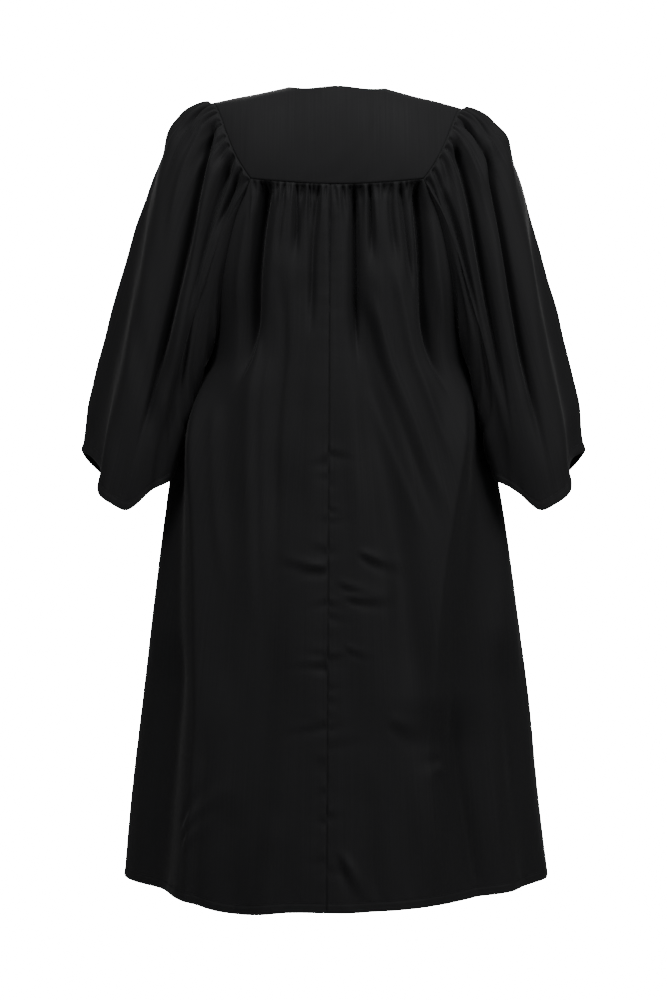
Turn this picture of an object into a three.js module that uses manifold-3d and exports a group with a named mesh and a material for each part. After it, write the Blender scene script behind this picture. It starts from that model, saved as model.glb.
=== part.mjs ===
// A choir gown, worn with no wearer in it: a smooth yoke over the shoulders, back and front panels
// gathered into it, two wide bell sleeves gathered into the armholes, and a zip down the centre front.
// Millimetres. +Z is up, the front faces -Y and +X is the wearer's left. The origin lies between the
// shoulders, level with the sides of the neck, where the wearer holds the gown up.
import * as THREE from "three";
import { mergeVertices } from "three/addons/utils/BufferGeometryUtils.js";
import Module from "manifold-3d";

// Cloth and seams
const CLOTH = 1.6; // wall thickness of every cloth piece
const SEAM_GAP = 0.3; // air between two pieces that are sewn together
const BLACK = { color: 0x0b0b0c, roughness: 0.82, metalness: 0 };

// Yoke
const NECK_HALF_WIDTH = 80;
const SHOULDER_X = 203; // where the shoulder seam meets the armhole
const RIDGE = { top: 6, slope: { left: 0.205, right: 0.265 }, rounding: 60, nape: 22, napeWidth: 50 };
const NECK_POINT_HALF = 8.6; // half of the short level part at the front neckline's lowest point
const NECK_SHARE = 0.4; // share of the yoke's upper edge that the neckline takes
const YOKE = {
  back: { seamZ: -173, cornerRise: 11, neckTurn: 0.402, corner: 0.61, bulge: 1 },
  front: { seamZ: -150, cornerRise: 0, neckTurn: 0.8, corner: 0.7, bulge: 1.25 },
};

// Zip at the centre front
const ZIP = { bottom: -640, slot: 2.7, tapeHalf: 8, tape: 0.8, chainHalf: 2.2, chain: 1.7, sliderDrop: 24 };
const SLIDER = { width: 9, height: 13, corner: 2, thick: 2.4, standOff: 0.4 };
const BRIDGE = { width: 2.6, hole: 1.4, ring: 1.1, pivot: 5.2 };
const PULL = { width: 7, length: 30, corner: 1.5, thick: 1.3, bar: 1.5, windowWidth: 3.8, windowHeight: 3.6 };
const METAL = { color: 0x1c1c1f, roughness: 0.4, metalness: 0.8 };

// Body sections from the yoke seam to the hem. left and right are half widths, back and front are
// depths, and round is the exponent of the section's superellipse: 2 is an ellipse, less is more
// pointed at the sides.
const BODY = [
  { z: -150, left: 220, right: 220, back: 109, front: 98, round: 2.5 },
  { z: -290, left: 216, right: 216, back: 126, front: 116, round: 2.5 },
  { z: -441, left: 203, right: 204, back: 141, front: 128, round: 2.4 },
  { z: -478, left: 220, right: 218, back: 145, front: 131, round: 2.35 },
  { z: -520, left: 239, right: 233, back: 149, front: 134, round: 2.3 },
  { z: -606, left: 263, right: 253, back: 158, front: 140, round: 2.2 },
  { z: -691, left: 276, right: 268, back: 167, front: 147, round: 2.1 },
  { z: -835, left: 294, right: 288, back: 184, front: 158, round: 2.0 },
  { z: -979, left: 311, right: 307, back: 201, front: 170, round: 1.85 },
  { z: -1123, left: 328, right: 321, back: 220, front: 183, round: 1.8 },
  { z: -1265, left: 341, right: 338, back: 238, front: 198, round: 1.75 },
];
const HEM = { centreBack: -1265, side: -1257, centreFront: -1252 };

// The centre-back seam hangs a little to the wearer's left of the middle.
const CENTRE_BACK = [
  { z: -173, x: 11 },
  { z: -1265, x: 16 },
];

// Folds of the body panels. from and to are heights. start, middle and end are where the fold lies
// there, as a share of the half section from the centre (0) to the side (1). wide is its half width and
// high its height, negative for a valley.
const BACK_FOLDS = {
  left: [
    { from: -140, to: -480, start: 0.375, middle: 0.45, end: 0.515, wide: 15, high: -16 },
    { from: -150, to: -330, start: 0.2, middle: 0.215, end: 0.235, wide: 10, high: -5 },
    { from: -150, to: -420, start: 0.115, middle: 0.133, end: 0.15, wide: 11, high: -6 },
    { from: -150, to: -420, start: 0.28, middle: 0.33, end: 0.36, wide: 18, high: 6 },
    { from: -430, to: -900, start: 0.46, middle: 0.4, end: 0.37, wide: 26, high: 6 },
    { from: -420, to: -1500, start: 0.8, middle: 0.57, end: 0.62, wide: 30, high: 18 },
    { from: -480, to: -1500, start: 0.93, middle: 0.69, end: 0.73, wide: 26, high: -26 },
    { from: -850, to: -1500, start: 0.78, middle: 0.79, end: 0.8, wide: 40, high: -16 },
  ],
  right: [
    { from: -140, to: -460, start: 0.105, middle: 0.1, end: 0.12, wide: 13, high: -13 },
    { from: -140, to: -500, start: 0.445, middle: 0.48, end: 0.6, wide: 15, high: -17 },
    { from: -150, to: -320, start: 0.195, middle: 0.19, end: 0.19, wide: 10, high: -5 },
    { from: -150, to: -320, start: 0.275, middle: 0.3, end: 0.335, wide: 10, high: -5 },
    { from: -160, to: -380, start: 0.35, middle: 0.385, end: 0.44, wide: 11, high: -6 },
    { from: -440, to: -1330, start: 0.84, middle: 0.4, end: 0.43, wide: 28, high: 16 },
    { from: -950, to: -1500, start: 0.4, middle: 0.42, end: 0.45, wide: 70, high: -20 },
    { from: -450, to: -1500, start: 0.96, middle: 0.54, end: 0.66, wide: 34, high: -26 },
    { from: -850, to: -1500, start: 0.76, middle: 0.78, end: 0.8, wide: 40, high: -14 },
  ],
};
const FRONT_FOLDS = [
  { from: -130, to: -520, start: 0.33, middle: 0.36, end: 0.4, wide: 16, high: -12 },
  { from: -130, to: -420, start: 0.52, middle: 0.54, end: 0.58, wide: 14, high: -9 },
  { from: -420, to: -1500, start: 0.78, middle: 0.5, end: 0.52, wide: 32, high: 13 },
  { from: -460, to: -1500, start: 0.9, middle: 0.66, end: 0.68, wide: 32, high: -20 },
];
// Gathers: small waves that start at the yoke seam and die out down the cloth.
const GATHERS = {
  back: { count: 11, high: 2.2, length: 75 },
  front: { count: 8, high: 2.4, length: 65 },
  sleeve: { count: 12, high: 2, length: 0.09, reach: 0.28125 },
};
const PUFF = 4; // how far the gathered cloth stands out below the yoke seam

// Lower armholes, from the yoke's corner to the underarm. across is the share of the body's half width.
const ARMHOLE = {
  back: [
    { z: -162, across: 0.61 },
    { z: -219, across: 0.717 },
    { z: -288, across: 0.8 },
    { z: -345, across: 0.868 },
    { z: -400, across: 0.93 },
    { z: -430, across: 0.976 },
    { z: -441, across: 1 },
  ],
  front: [
    { z: -150, across: 0.7 },
    { z: -205, across: 0.72 },
    { z: -285, across: 0.785 },
    { z: -355, across: 0.865 },
    { z: -408, across: 0.935 },
    { z: -433, across: 0.98 },
    { z: -441, across: 1 },
  ],
};

// Sleeve: each row is a line of cloth from the armhole to the cuff. around runs from the shoulder point
// (0) down the back to the underarm (0.5). lean is the angle at which the cloth leaves the seam, in
// degrees above the panel it is sewn to, and slant how far it turns down along the seam. reach is how
// far it keeps that direction, cuff its place round the cuff's edge, and hang how far above that edge
// it falls straight.
const SLEEVE_LINES = [
  { around: 0, lean: 17, slant: 0, reach: 82, cuff: 0, hang: 420 },
  { around: 0.06, lean: 20, slant: 0, reach: 76, cuff: 0.1, hang: 400 },
  { around: 0.125, lean: 24, slant: 4, reach: 60, cuff: 0.17, hang: 340 },
  { around: 0.19, lean: 30, slant: 14, reach: 48, cuff: 0.24, hang: 290 },
  { around: 0.24, lean: 34, slant: 36, reach: 44, cuff: 0.3, hang: 235 },
  { around: 0.28, lean: 35, slant: 70, reach: 40, cuff: 0.335, hang: 190 },
  { around: 0.33, lean: 38, slant: 76, reach: 36, cuff: 0.37, hang: 150 },
  { around: 0.39, lean: 50, slant: 66, reach: 30, cuff: 0.41, hang: 110 },
  { around: 0.45, lean: 85, slant: 35, reach: 24, cuff: 0.455, hang: 72 },
  { around: 0.5, lean: 130, slant: 0, reach: 22, cuff: 0.5, hang: 45 },
];
const YOKE_TURN = 0.25; // the share of the armhole, from the shoulder point, that the yoke's edge takes
const FALL = new THREE.Vector3(-0.24, 0, 0.97); // up along the hanging sleeve

// The cuff's edge on the left sleeve, from its outer side round the back. The right one hangs closer in.
const CUFF = [
  { share: 0, x: 416, y: -38, z: -579 },
  { share: 0.07, x: 396, y: 8, z: -592 },
  { share: 0.11, x: 384, y: 50, z: -612 },
  { share: 0.15, x: 372, y: 84, z: -646 },
  { share: 0.2, x: 346, y: 99, z: -667 },
  { share: 0.25, x: 324, y: 101, z: -675 },
  { share: 0.33, x: 291, y: 92, z: -648 },
  { share: 0.42, x: 263, y: 68, z: -626 },
  { share: 0.5, x: 269, y: 2, z: -606 },
  { share: 0.58, x: 275, y: -55, z: -616 },
  { share: 0.67, x: 302, y: -90, z: -636 },
  { share: 0.75, x: 336, y: -100, z: -645 },
  { share: 0.85, x: 378, y: -96, z: -626 },
  { share: 0.93, x: 406, y: -74, z: -598 },
  { share: 1, x: 416, y: -38, z: -579 },
];
const CUFF_NEARER = { left: 0, right: 11 };

// Folds of the sleeves: from and to are shares of the way down, the rest are shares of the way round.
const SLEEVE_FOLDS = {
  left: [
    { from: 0.02, to: 0.95, start: 0.115, middle: 0.175, end: 0.185, wide: 0.022, high: -13 },
    { from: 0, to: 0.9, start: 0.21, middle: 0.26, end: 0.32, wide: 0.036, high: -6 },
    { from: 0.02, to: 0.32, start: 0.235, middle: 0.238, end: 0.235, wide: 0.012, high: -5 },
    { from: 0.08, to: 0.95, start: 0.165, middle: 0.215, end: 0.24, wide: 0.02, high: 8 },
    { from: 0.25, to: 1.4, start: -0.02, middle: 0.05, end: 0.075, wide: 0.024, high: -15 },
    { from: 0.3, to: 1.4, start: 0.03, middle: 0.105, end: 0.13, wide: 0.022, high: 8 },
    { from: 0.05, to: 0.4, start: -0.035, middle: -0.045, end: -0.06, wide: 0.012, high: -5 },
  ],
  right: [
    { from: 0, to: 0.42, start: 0.12, middle: 0.095, end: 0.09, wide: 0.012, high: -6 },
    { from: 0.28, to: 0.95, start: 0.085, middle: 0.12, end: 0.15, wide: 0.03, high: -15 },
    { from: 0.02, to: 0.85, start: 0.155, middle: 0.185, end: 0.24, wide: 0.022, high: -12 },
    { from: 0.05, to: 0.85, start: 0.215, middle: 0.265, end: 0.34, wide: 0.036, high: -5 },
    { from: 0.25, to: 1.4, start: -0.02, middle: 0.035, end: 0.07, wide: 0.024, high: -13 },
    { from: 0.3, to: 1.4, start: 0.03, middle: 0.09, end: 0.125, wide: 0.022, high: 8 },
  ],
};
const SLEEVE_FRONT_FOLDS = [
  { from: 0.02, to: 0.9, start: -0.12, middle: -0.15, end: -0.16, wide: 0.024, high: -12 },
  { from: 0, to: 0.85, start: -0.22, middle: -0.26, end: -0.31, wide: 0.028, high: -18 },
];

const lerp = THREE.MathUtils.lerp;
const clamp = THREE.MathUtils.clamp;
const clamp01 = (value) => clamp(value, 0, 1);
const smooth = (value) => THREE.MathUtils.smoothstep(value, 0, 1);

// Value of one column of a table at a place between its rows, on a smooth curve through them.
function fromTable(table, by, at, name) {
  const rising = table[1][by] > table[0][by];
  let i = 0;
  while (i < table.length - 2 && (rising ? at > table[i + 1][by] : at < table[i + 1][by])) i += 1;
  const slope = (a, b) => (table[b][name] - table[a][name]) / (table[b][by] - table[a][by]);
  const span = table[i + 1][by] - table[i][by];
  const here = slope(i, i + 1);
  const before = i > 0 ? (slope(i - 1, i) + here) / 2 : here;
  const after = i < table.length - 2 ? (here + slope(i + 1, i + 2)) / 2 : here;
  const k = clamp01((at - table[i][by]) / span);
  const start = 2 * k ** 3 - 3 * k ** 2 + 1;
  const leave = (k ** 3 - 2 * k ** 2 + k) * span;
  const arrive = (k ** 3 - k ** 2) * span;
  return start * table[i][name] + leave * before + (1 - start) * table[i + 1][name] + arrive * after;
}

// The body's form, in the half x >= 0: side is left or right, face is back or front.
const facing = (face) => (face === "back" ? 1 : -1);

function bodyPoint(x, z, side, face) {
  const half = fromTable(BODY, "z", z, side);
  const round = fromTable(BODY, "z", z, "round");
  const depth = fromTable(BODY, "z", z, face);
  const share = Math.min(1, Math.abs(x) / half);
  return new THREE.Vector3(x, facing(face) * depth * (1 - share ** round) ** (1 / round), z);
}

// Points round a quarter of a section, from the centre line to the side, with their run along the cloth.
const SECTION_STEPS = 48;
function quarterSection(z, side, face) {
  const half = fromTable(BODY, "z", z, side);
  const depth = fromTable(BODY, "z", z, face);
  const power = 2 / fromTable(BODY, "z", z, "round");
  const points = [];
  let run = 0;
  for (let i = 0; i <= SECTION_STEPS; i += 1) {
    const turn = (i / SECTION_STEPS) * (Math.PI / 2);
    const x = half * Math.sin(turn) ** power;
    const y = facing(face) * depth * Math.max(0, Math.cos(turn)) ** power;
    if (i > 0) run += Math.hypot(x - points[i - 1].x, y - points[i - 1].y);
    points.push({ x, y, run });
  }
  return points;
}

// A share is negative where a panel crosses the middle.
function pointOnSection(section, share, z) {
  const target = Math.abs(share) * section[SECTION_STEPS].run;
  let i = 0;
  while (i < SECTION_STEPS - 1 && section[i + 1].run < target) i += 1;
  const k = (target - section[i].run) / (section[i + 1].run - section[i].run);
  const x = Math.sign(share) * lerp(section[i].x, section[i + 1].x, k);
  return new THREE.Vector3(x, lerp(section[i].y, section[i + 1].y, k), z);
}

function shareOnSection(section, x) {
  let i = 0;
  while (i < SECTION_STEPS - 1 && section[i + 1].x < Math.abs(x)) i += 1;
  const k = clamp01((Math.abs(x) - section[i].x) / (section[i + 1].x - section[i].x));
  return (Math.sign(x) * lerp(section[i].run, section[i + 1].run, k)) / section[SECTION_STEPS].run;
}

// The yoke's form: at each distance x from the centre an arch runs over the shoulder, from the ridge
// (turn 0) down to the yoke seam (turn 1).
const ridgeZ = (x, side) => {
  const outward = Math.sqrt(x * x + RIDGE.rounding ** 2) - RIDGE.rounding;
  return RIDGE.top - RIDGE.slope[side] * outward + RIDGE.nape * Math.exp(-((x / RIDGE.napeWidth) ** 2));
};
const yokeCornerX = (side, face) => YOKE[face].corner * fromTable(BODY, "z", ARMHOLE[face][0].z, side);
const yokeSeamZ = (x, side, face) => {
  const out = Math.min(1, Math.abs(x) / yokeCornerX(side, face));
  return YOKE[face].seamZ + YOKE[face].cornerRise * out ** 2;
};

function yokePoint(x, turn, side, face) {
  const seam = bodyPoint(x, yokeSeamZ(x, side, face), side, face);
  const angle = (turn * Math.PI) / 2;
  const y = seam.y * Math.sin(angle) ** YOKE[face].bulge;
  return new THREE.Vector3(x, y, lerp(seam.z, ridgeZ(x, side), Math.cos(angle)));
}

const yokeEdgeX = (turn, side, face) =>
  SHOULDER_X - (SHOULDER_X - yokeCornerX(side, face)) * (0.6 * turn + 0.4 * turn ** 5);

// Unit normal of a surface given as a function of two values, pointing away from the gown's inside.
function surfaceNormal(surface, a, b, outward, step = 1e-3) {
  const da = surface(a + step, b).sub(surface(a - step, b));
  const db = surface(a, b + step).sub(surface(a, b - step));
  const normal = da.cross(db).normalize();
  return normal.dot(outward) < 0 ? normal.negate() : normal;
}

function bodyNormal(x, z, side, face) {
  const half = fromTable(BODY, "z", z, side);
  if (x > half - 2) return new THREE.Vector3(1, 0, 0);
  const outward = new THREE.Vector3(0, facing(face), 0);
  return surfaceNormal((a, b) => bodyPoint(a, b, side, face), x, z, outward, 0.5);
}

const yokeNormal = (x, turn, side, face) => {
  const at = Math.max(turn, 0.01);
  const outward = new THREE.Vector3(0, facing(face), 1);
  return surfaceNormal((a, b) => yokePoint(a * 100, b, side, face), x / 100, at, outward);
};

// Turns rows of cloth points into one closed wall. Each row runs across the cloth and each point is {
// s, p, n }: its place across, the outer point and the outward direction. Rows may differ in how many
// points they hold.
function clothWall(rows, { round = false, thick = CLOTH } = {}) {
  const positions = [];
  const starts = [];
  for (const row of rows) {
    starts.push(positions.length / 3);
    for (const { p } of row) positions.push(p.x, p.y, p.z);
  }
  const count = positions.length / 3;
  for (const { p, n } of rows.flat()) positions.push(...p.clone().addScaledVector(n, -thick).toArray());

  const outer = [];
  for (let r = 0; r < rows.length - 1; r += 1) {
    const [upper, lower] = [rows[r], rows[r + 1]];
    const end = (row) => (round ? row.length : row.length - 1);
    const place = (row, i) => (i < row.length ? row[i].s : 1 + row[0].s);
    const index = (which, row, i) => starts[r + which] + (i % row.length);
    let [i, j] = [0, 0];
    while (i < end(upper) || j < end(lower)) {
      const stepUpper = j >= end(lower) || (i < end(upper) && place(upper, i + 1) <= place(lower, j + 1));
      if (stepUpper) outer.push([index(0, upper, i), index(0, upper, i + 1), index(1, lower, j)]);
      else outer.push([index(0, upper, i), index(1, lower, j + 1), index(1, lower, j)]);
      if (stepUpper) i += 1;
      else j += 1;
    }
  }
  const edges = new Set(outer.flatMap(([a, b, c]) => [`${a},${b}`, `${b},${c}`, `${c},${a}`]));
  const faces = outer.flatMap(([a, b, c]) => [[a, b, c], [a + count, c + count, b + count]]);
  for (const edge of edges) {
    const [a, b] = edge.split(",").map(Number);
    if (!edges.has(`${b},${a}`)) faces.push([b, a, a + count], [b, a + count, b + count]);
  }
  return closedMesh(positions, faces);
}

// A mesh of closed faces, turned so that they look outwards.
function closedMesh(positions, faces) {
  const outward = signedVolume(positions, faces) < 0 ? faces.map(([a, b, c]) => [a, c, b]) : faces;
  const geometry = new THREE.BufferGeometry();
  geometry.setAttribute("position", new THREE.Float32BufferAttribute(positions, 3));
  geometry.setIndex(outward.flat());
  geometry.computeVertexNormals();
  return geometry;
}

function signedVolume(positions, faces) {
  const corner = (i) => new THREE.Vector3(positions[3 * i], positions[3 * i + 1], positions[3 * i + 2]);
  return faces.reduce((sum, [a, b, c]) => sum + corner(a).dot(corner(b).cross(corner(c))) / 6, 0);
}

// A body panel: columns run from its upper edge (yoke seam, then lower armhole) down to the hem.
const SEAM_SHARE = 0.62; // share of a panel's columns that start at the yoke seam
const ARMHOLE_COLUMNS = 8;
const YOKE_ROWS = 6;

const armholeAt = (share, side, face) => {
  const rows = ARMHOLE[face].map((row, i) => ({ ...row, i }));
  const i = share * (rows.length - 1);
  const z = fromTable(rows, "i", i, "z");
  const x = fromTable(rows, "i", i, "across") * fromTable(BODY, "z", z, side);
  return { x, z };
};

// Where the centre seam lies in a panel's own half, and the panel's top edge.
function centreX(z, side, face) {
  if (face === "front") return 0;
  return (side === "left" ? 1 : -1) * fromTable(CENTRE_BACK, "z", z, "x");
}

function panelTop(s, side, face) {
  if (s > SEAM_SHARE) return armholeAt((s - SEAM_SHARE) / (1 - SEAM_SHARE), side, face);
  const x = lerp(centreX(YOKE[face].seamZ, side, face), yokeCornerX(side, face), s / SEAM_SHARE);
  return { x, z: yokeSeamZ(x, side, face) };
}

const hemZ = (s, face) => lerp(face === "back" ? HEM.centreBack : HEM.centreFront, HEM.side, smooth(s));

// Height of the folds at one place: at is the place along them and across the place over them, and
// scale turns a step across into the unit of their width.
function foldHeight(folds, at, across, scale = 1) {
  let height = 0;
  for (const { from, to, start, middle, end, wide, high } of folds) {
    const k = (at - from) / (to - from);
    if (k <= 0 || k >= 1) continue;
    const centre = start * (1 - k) * (1 - 2 * k) + 4 * middle * k * (1 - k) + end * k * (2 * k - 1);
    const fade = smooth(k / 0.15) * smooth((1 - k) / 0.35);
    const away = ((across - centre) * scale) / wide;
    height += high * fade * Math.exp(-away * away);
  }
  return height;
}

// Gathers: k counts them along the seam, down is how far below the seam, in the unit of length.
function gatherHeight({ high, length }, k, down) {
  const own = length * (0.75 + 0.4 * Math.sin(k * 2.3 + 1));
  const wave = Math.cos(2 * Math.PI * (k + 0.16 * Math.sin(k * 1.7)));
  if (down === 0) return 0.4 * high * (wave - 1);
  return high * wave * Math.exp(-((down / own) ** 2));
}

function panelPoint(s, t, side, face) {
  const top = panelTop(s, side, face);
  const z = lerp(top.z, hemZ(s, face), t);
  const startShare = shareOnSection(quarterSection(top.z, side, face), top.x);
  const section = quarterSection(z, side, face);
  const centre = shareOnSection(section, centreX(z, side, face));
  const share = lerp(startShare, lerp(centre, 1, s), smooth(t * 1.5));
  const p = pointOnSection(section, share, z);
  const n = bodyNormal(p.x, z, side, face);

  const down = top.z - z;
  const inSeam = smooth((SEAM_SHARE - s) / 0.03);
  const besideZip = face === "front" ? smooth((p.x - 2 * ZIP.tapeHalf) / 16) : 1;
  const edge = besideZip * smooth(s / 0.04) * smooth((1 - s) / 0.1);
  const folds = face === "back" ? BACK_FOLDS[side] : FRONT_FOLDS;
  const k = (s / SEAM_SHARE) * GATHERS[face].count;
  const begin = lerp(smooth(down / 60), smooth((down + 12) / 30), inSeam);
  let height = begin * foldHeight(folds, z, share, section[SECTION_STEPS].run);
  height += inSeam * gatherHeight(GATHERS[face], k, down);
  height += inSeam * PUFF * smooth(down / 30) * smooth((200 - down) / 160);
  return { s, p: p.addScaledVector(n, height * edge), n };
}

// Rows of a panel: how far down, and how many columns lie below the yoke seam and below the armhole.
const PANEL_ROWS = {
  back: [
    { t: 0, seam: 44, armhole: ARMHOLE_COLUMNS },
    { t: 0.008, seam: 44, armhole: 8 },
    { t: 0.022, seam: 44, armhole: 8 },
    { t: 0.045, seam: 33, armhole: 8 },
    { t: 0.08, seam: 22, armhole: 7 },
    { t: 0.13, seam: 14, armhole: 7 },
    ...[0.2, 0.29, 0.39, 0.5, 0.62, 0.75, 0.88, 1].map((t) => ({ t, seam: 12, armhole: 6 })),
  ],
  front: [
    { t: 0, seam: 32, armhole: ARMHOLE_COLUMNS },
    { t: 0.008, seam: 32, armhole: 8 },
    { t: 0.022, seam: 32, armhole: 8 },
    { t: 0.045, seam: 24, armhole: 8 },
    { t: 0.08, seam: 16, armhole: 7 },
    { t: 0.13, seam: 12, armhole: 6 },
    ...[0.2, 0.29, 0.42, 0.4325, 0.452, 0.58, 0.72, 0.86, 1].map((t) => ({ t, seam: 11, armhole: 5 })),
  ],
};

function panel(side, face) {
  const mirror = side === "left" ? 1 : -1;
  const rows = PANEL_ROWS[face].map(({ t, seam, armhole: beside }) => {
    const places = Array.from({ length: seam }, (_, i) => (i / seam) * SEAM_SHARE);
    for (let i = 0; i <= beside; i += 1) places.push(lerp(SEAM_SHARE, 1, i / beside));
    return places.map((s) => {
      const point = panelPoint(s, t, side, face);
      const { p, n } = point;
      if (s === 0) p.x += face === "front" && p.z > ZIP.bottom ? ZIP.slot : SEAM_GAP / 2;
      if (t === 0) p.z -= SEAM_GAP / 2;
      if (s === 1) p.y += facing(face) * (SEAM_GAP / 2);
      p.x *= mirror;
      n.x *= mirror;
      return point;
    });
  });
  return clothWall(rows);
}

// The armhole as one loop of straight steps between the corners of the yoke's and the panel's edges:
// around is 0 at the shoulder point and 0.5 at the underarm, and the back comes first.
function armholeEdge(side, face) {
  const edge = [];
  for (let i = 0; i < YOKE_ROWS; i += 1) {
    const turn = i / YOKE_ROWS;
    const x = yokeEdgeX(turn, side, face);
    const p = yokePoint(x, turn, side, face);
    edge.push({ around: turn * YOKE_TURN, p, n: yokeNormal(x, turn, side, face) });
  }
  for (let i = 0; i <= ARMHOLE_COLUMNS; i += 1) {
    const share = i / ARMHOLE_COLUMNS;
    const { x, z } = armholeAt(share, side, face);
    const p = bodyPoint(x, z, side, face);
    edge.push({ around: lerp(YOKE_TURN, 0.5, share), p, n: bodyNormal(x, z, side, face) });
  }
  return edge;
}

const ARMHOLE_EDGES = {};
for (const side of ["left", "right"]) {
  for (const face of ["back", "front"]) ARMHOLE_EDGES[side + face] = armholeEdge(side, face);
}

function armhole(around, side) {
  const edge = ARMHOLE_EDGES[side + (around <= 0.5 ? "back" : "front")];
  const down = around <= 0.5 ? around : 1 - around;
  let i = 0;
  while (i < edge.length - 2 && edge[i + 1].around < down) i += 1;
  const k = (down - edge[i].around) / (edge[i + 1].around - edge[i].around);
  const n = edge[i].n.clone().lerp(edge[i + 1].n, k).normalize();
  return { p: edge[i].p.clone().lerp(edge[i + 1].p, k), n };
}

function cuffPoint(share, side) {
  const at = (name) => fromTable(CUFF, "share", share, name);
  return new THREE.Vector3(at("x") - CUFF_NEARER[side], at("y"), at("z"));
}

// Direction of the armhole's edge and of the cloth beside it, averaged over a short stretch so that the
// sleeve runs smoothly round the yoke's corner.
const EDGE_BLEND = 0.02;
function armholeFrame(around, side) {
  const near = [-1.5, -0.75, 0, 0.75, 1.5].map((step) => step * EDGE_BLEND);
  const places = near.map((step) => armhole((around + step + 1) % 1, side));
  const n = places.reduce((sum, place) => sum.add(place.n), new THREE.Vector3()).normalize();
  const along = places[4].p.clone().sub(places[0].p);
  const away = along.clone().cross(n).normalize();
  return { n, away, down: along.normalize().multiplyScalar(around <= 0.5 ? 1 : -1) };
}

function sleeveLine(around, side) {
  const turn = ((around % 1) + 1) % 1;
  const place = turn <= 0.5 ? turn : 1 - turn;
  const frame = armholeFrame(turn, side);
  const line = (name) => fromTable(SLEEVE_LINES, "around", place, name);
  const lean = THREE.MathUtils.degToRad(line("lean"));
  const slant = THREE.MathUtils.degToRad(line("slant"));
  const start = armhole(turn, side).p.addScaledVector(frame.away, SEAM_GAP);
  const lead = frame.away.clone().multiplyScalar(Math.cos(slant));
  lead.addScaledVector(frame.down, Math.sin(slant));
  lead.multiplyScalar(Math.cos(lean)).addScaledVector(frame.n, Math.sin(lean));
  const hem = cuffPoint(turn <= 0.5 ? line("cuff") : 1 - line("cuff"), side);
  const first = start.clone().addScaledVector(lead, line("reach"));
  const second = hem.clone().addScaledVector(FALL, line("hang"));
  return new THREE.CubicBezierCurve3(start, first, second, hem);
}

// Rows of a sleeve: how far down, and how many columns lie in the gathered part and in the rest. The
// first row's plain columns lie on the corners of the armhole's edge.
const SLEEVE_ROWS = [
  { v: 0, gathered: 72, plain: 14 },
  { v: 0.02, gathered: 72, plain: 14 },
  { v: 0.05, gathered: 48, plain: 14 },
  { v: 0.09, gathered: 34, plain: 14 },
  { v: 0.15, gathered: 24, plain: 14 },
  ...[0.23, 0.33].map((v) => ({ v, gathered: 18, plain: 14 })),
  ...[0.44, 0.55, 0.66, 0.77, 0.88, 1].map((v) => ({ v, gathered: 18, plain: 9 })),
];

function sleevePoint(s, v, side) {
  const at = (a, b) => sleeveLine(a, side).getPoint(clamp01(b));
  const p = at(s, v);
  const n = new THREE.Vector3();
  for (const step of [-2 * EDGE_BLEND, -EDGE_BLEND, 0, EDGE_BLEND, 2 * EDGE_BLEND]) {
    n.sub(surfaceNormal(at, s + step, clamp(v, 0.004, 0.996), new THREE.Vector3(), 2e-3));
  }
  n.normalize();
  const around = s > 0.5 ? s - 1 : s;
  const { count, reach } = GATHERS.sleeve;
  const inGathers = smooth((reach - Math.abs(around)) / 0.03);
  let height = smooth(v / 0.16) * foldHeight([...SLEEVE_FOLDS[side], ...SLEEVE_FRONT_FOLDS], v, around);
  const gather = gatherHeight(GATHERS.sleeve, (around / reach) * count, v);
  height += inGathers * (v === 0 ? Math.min(0, gather) : gather);
  return { s, p: p.addScaledVector(n, height), n };
}

function sleeve(side) {
  const { reach } = GATHERS.sleeve;
  const rows = SLEEVE_ROWS.map(({ v, gathered, plain }) => {
    const places = Array.from({ length: gathered }, (_, i) => lerp(-reach, reach, i / gathered));
    for (let i = 0; i < plain; i += 1) places.push(lerp(reach, 1 - reach, i / plain));
    const row = places.map((place) => sleevePoint((place + 1) % 1, v, side));
    return row.sort((a, b) => a.s - b.s);
  });
  if (side === "right") {
    for (const { p, n } of rows.flat()) {
      p.x *= -1;
      n.x *= -1;
    }
  }
  return clothWall(rows, { round: true });
}

// Yoke pieces: one across the back, two at the front.
const YOKE_COLUMNS = 15;

// The front neckline: level over the end of the zip's tape, then straight up to the shoulder.
function frontNeck(k) {
  const level = 1 / (NECK_SHARE * YOKE_COLUMNS);
  if (k <= level) return { x: (k / level) * NECK_POINT_HALF, turn: YOKE.front.neckTurn };
  const up = (k - level) / (1 - level);
  const out = 1 - (1 - up) ** 1.15;
  return { x: lerp(NECK_POINT_HALF, NECK_HALF_WIDTH, out), turn: YOKE.front.neckTurn * (1 - up) };
}

function yokeGridPoint(s, t, side, face) {
  const { neckTurn } = YOKE[face];
  const k = Math.min(1, s / NECK_SHARE);
  const onNeck = s < NECK_SHARE;
  const quarter = (k * Math.PI) / 2;
  const neck = face === "back"
    ? { x: NECK_HALF_WIDTH * Math.sin(quarter), turn: neckTurn * Math.cos(quarter) }
    : frontNeck(k);
  const topX = onNeck ? neck.x : lerp(NECK_HALF_WIDTH, SHOULDER_X, (s - NECK_SHARE) / (1 - NECK_SHARE));
  const turn = lerp(onNeck ? neck.turn : 0, 1, t);
  const cornerX = yokeCornerX(side, face);
  const bend = yokeEdgeX(turn, side, face) - lerp(SHOULDER_X, cornerX, turn);
  return { x: lerp(topX, cornerX * s, t) + s ** 2 * bend, turn };
}

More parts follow.
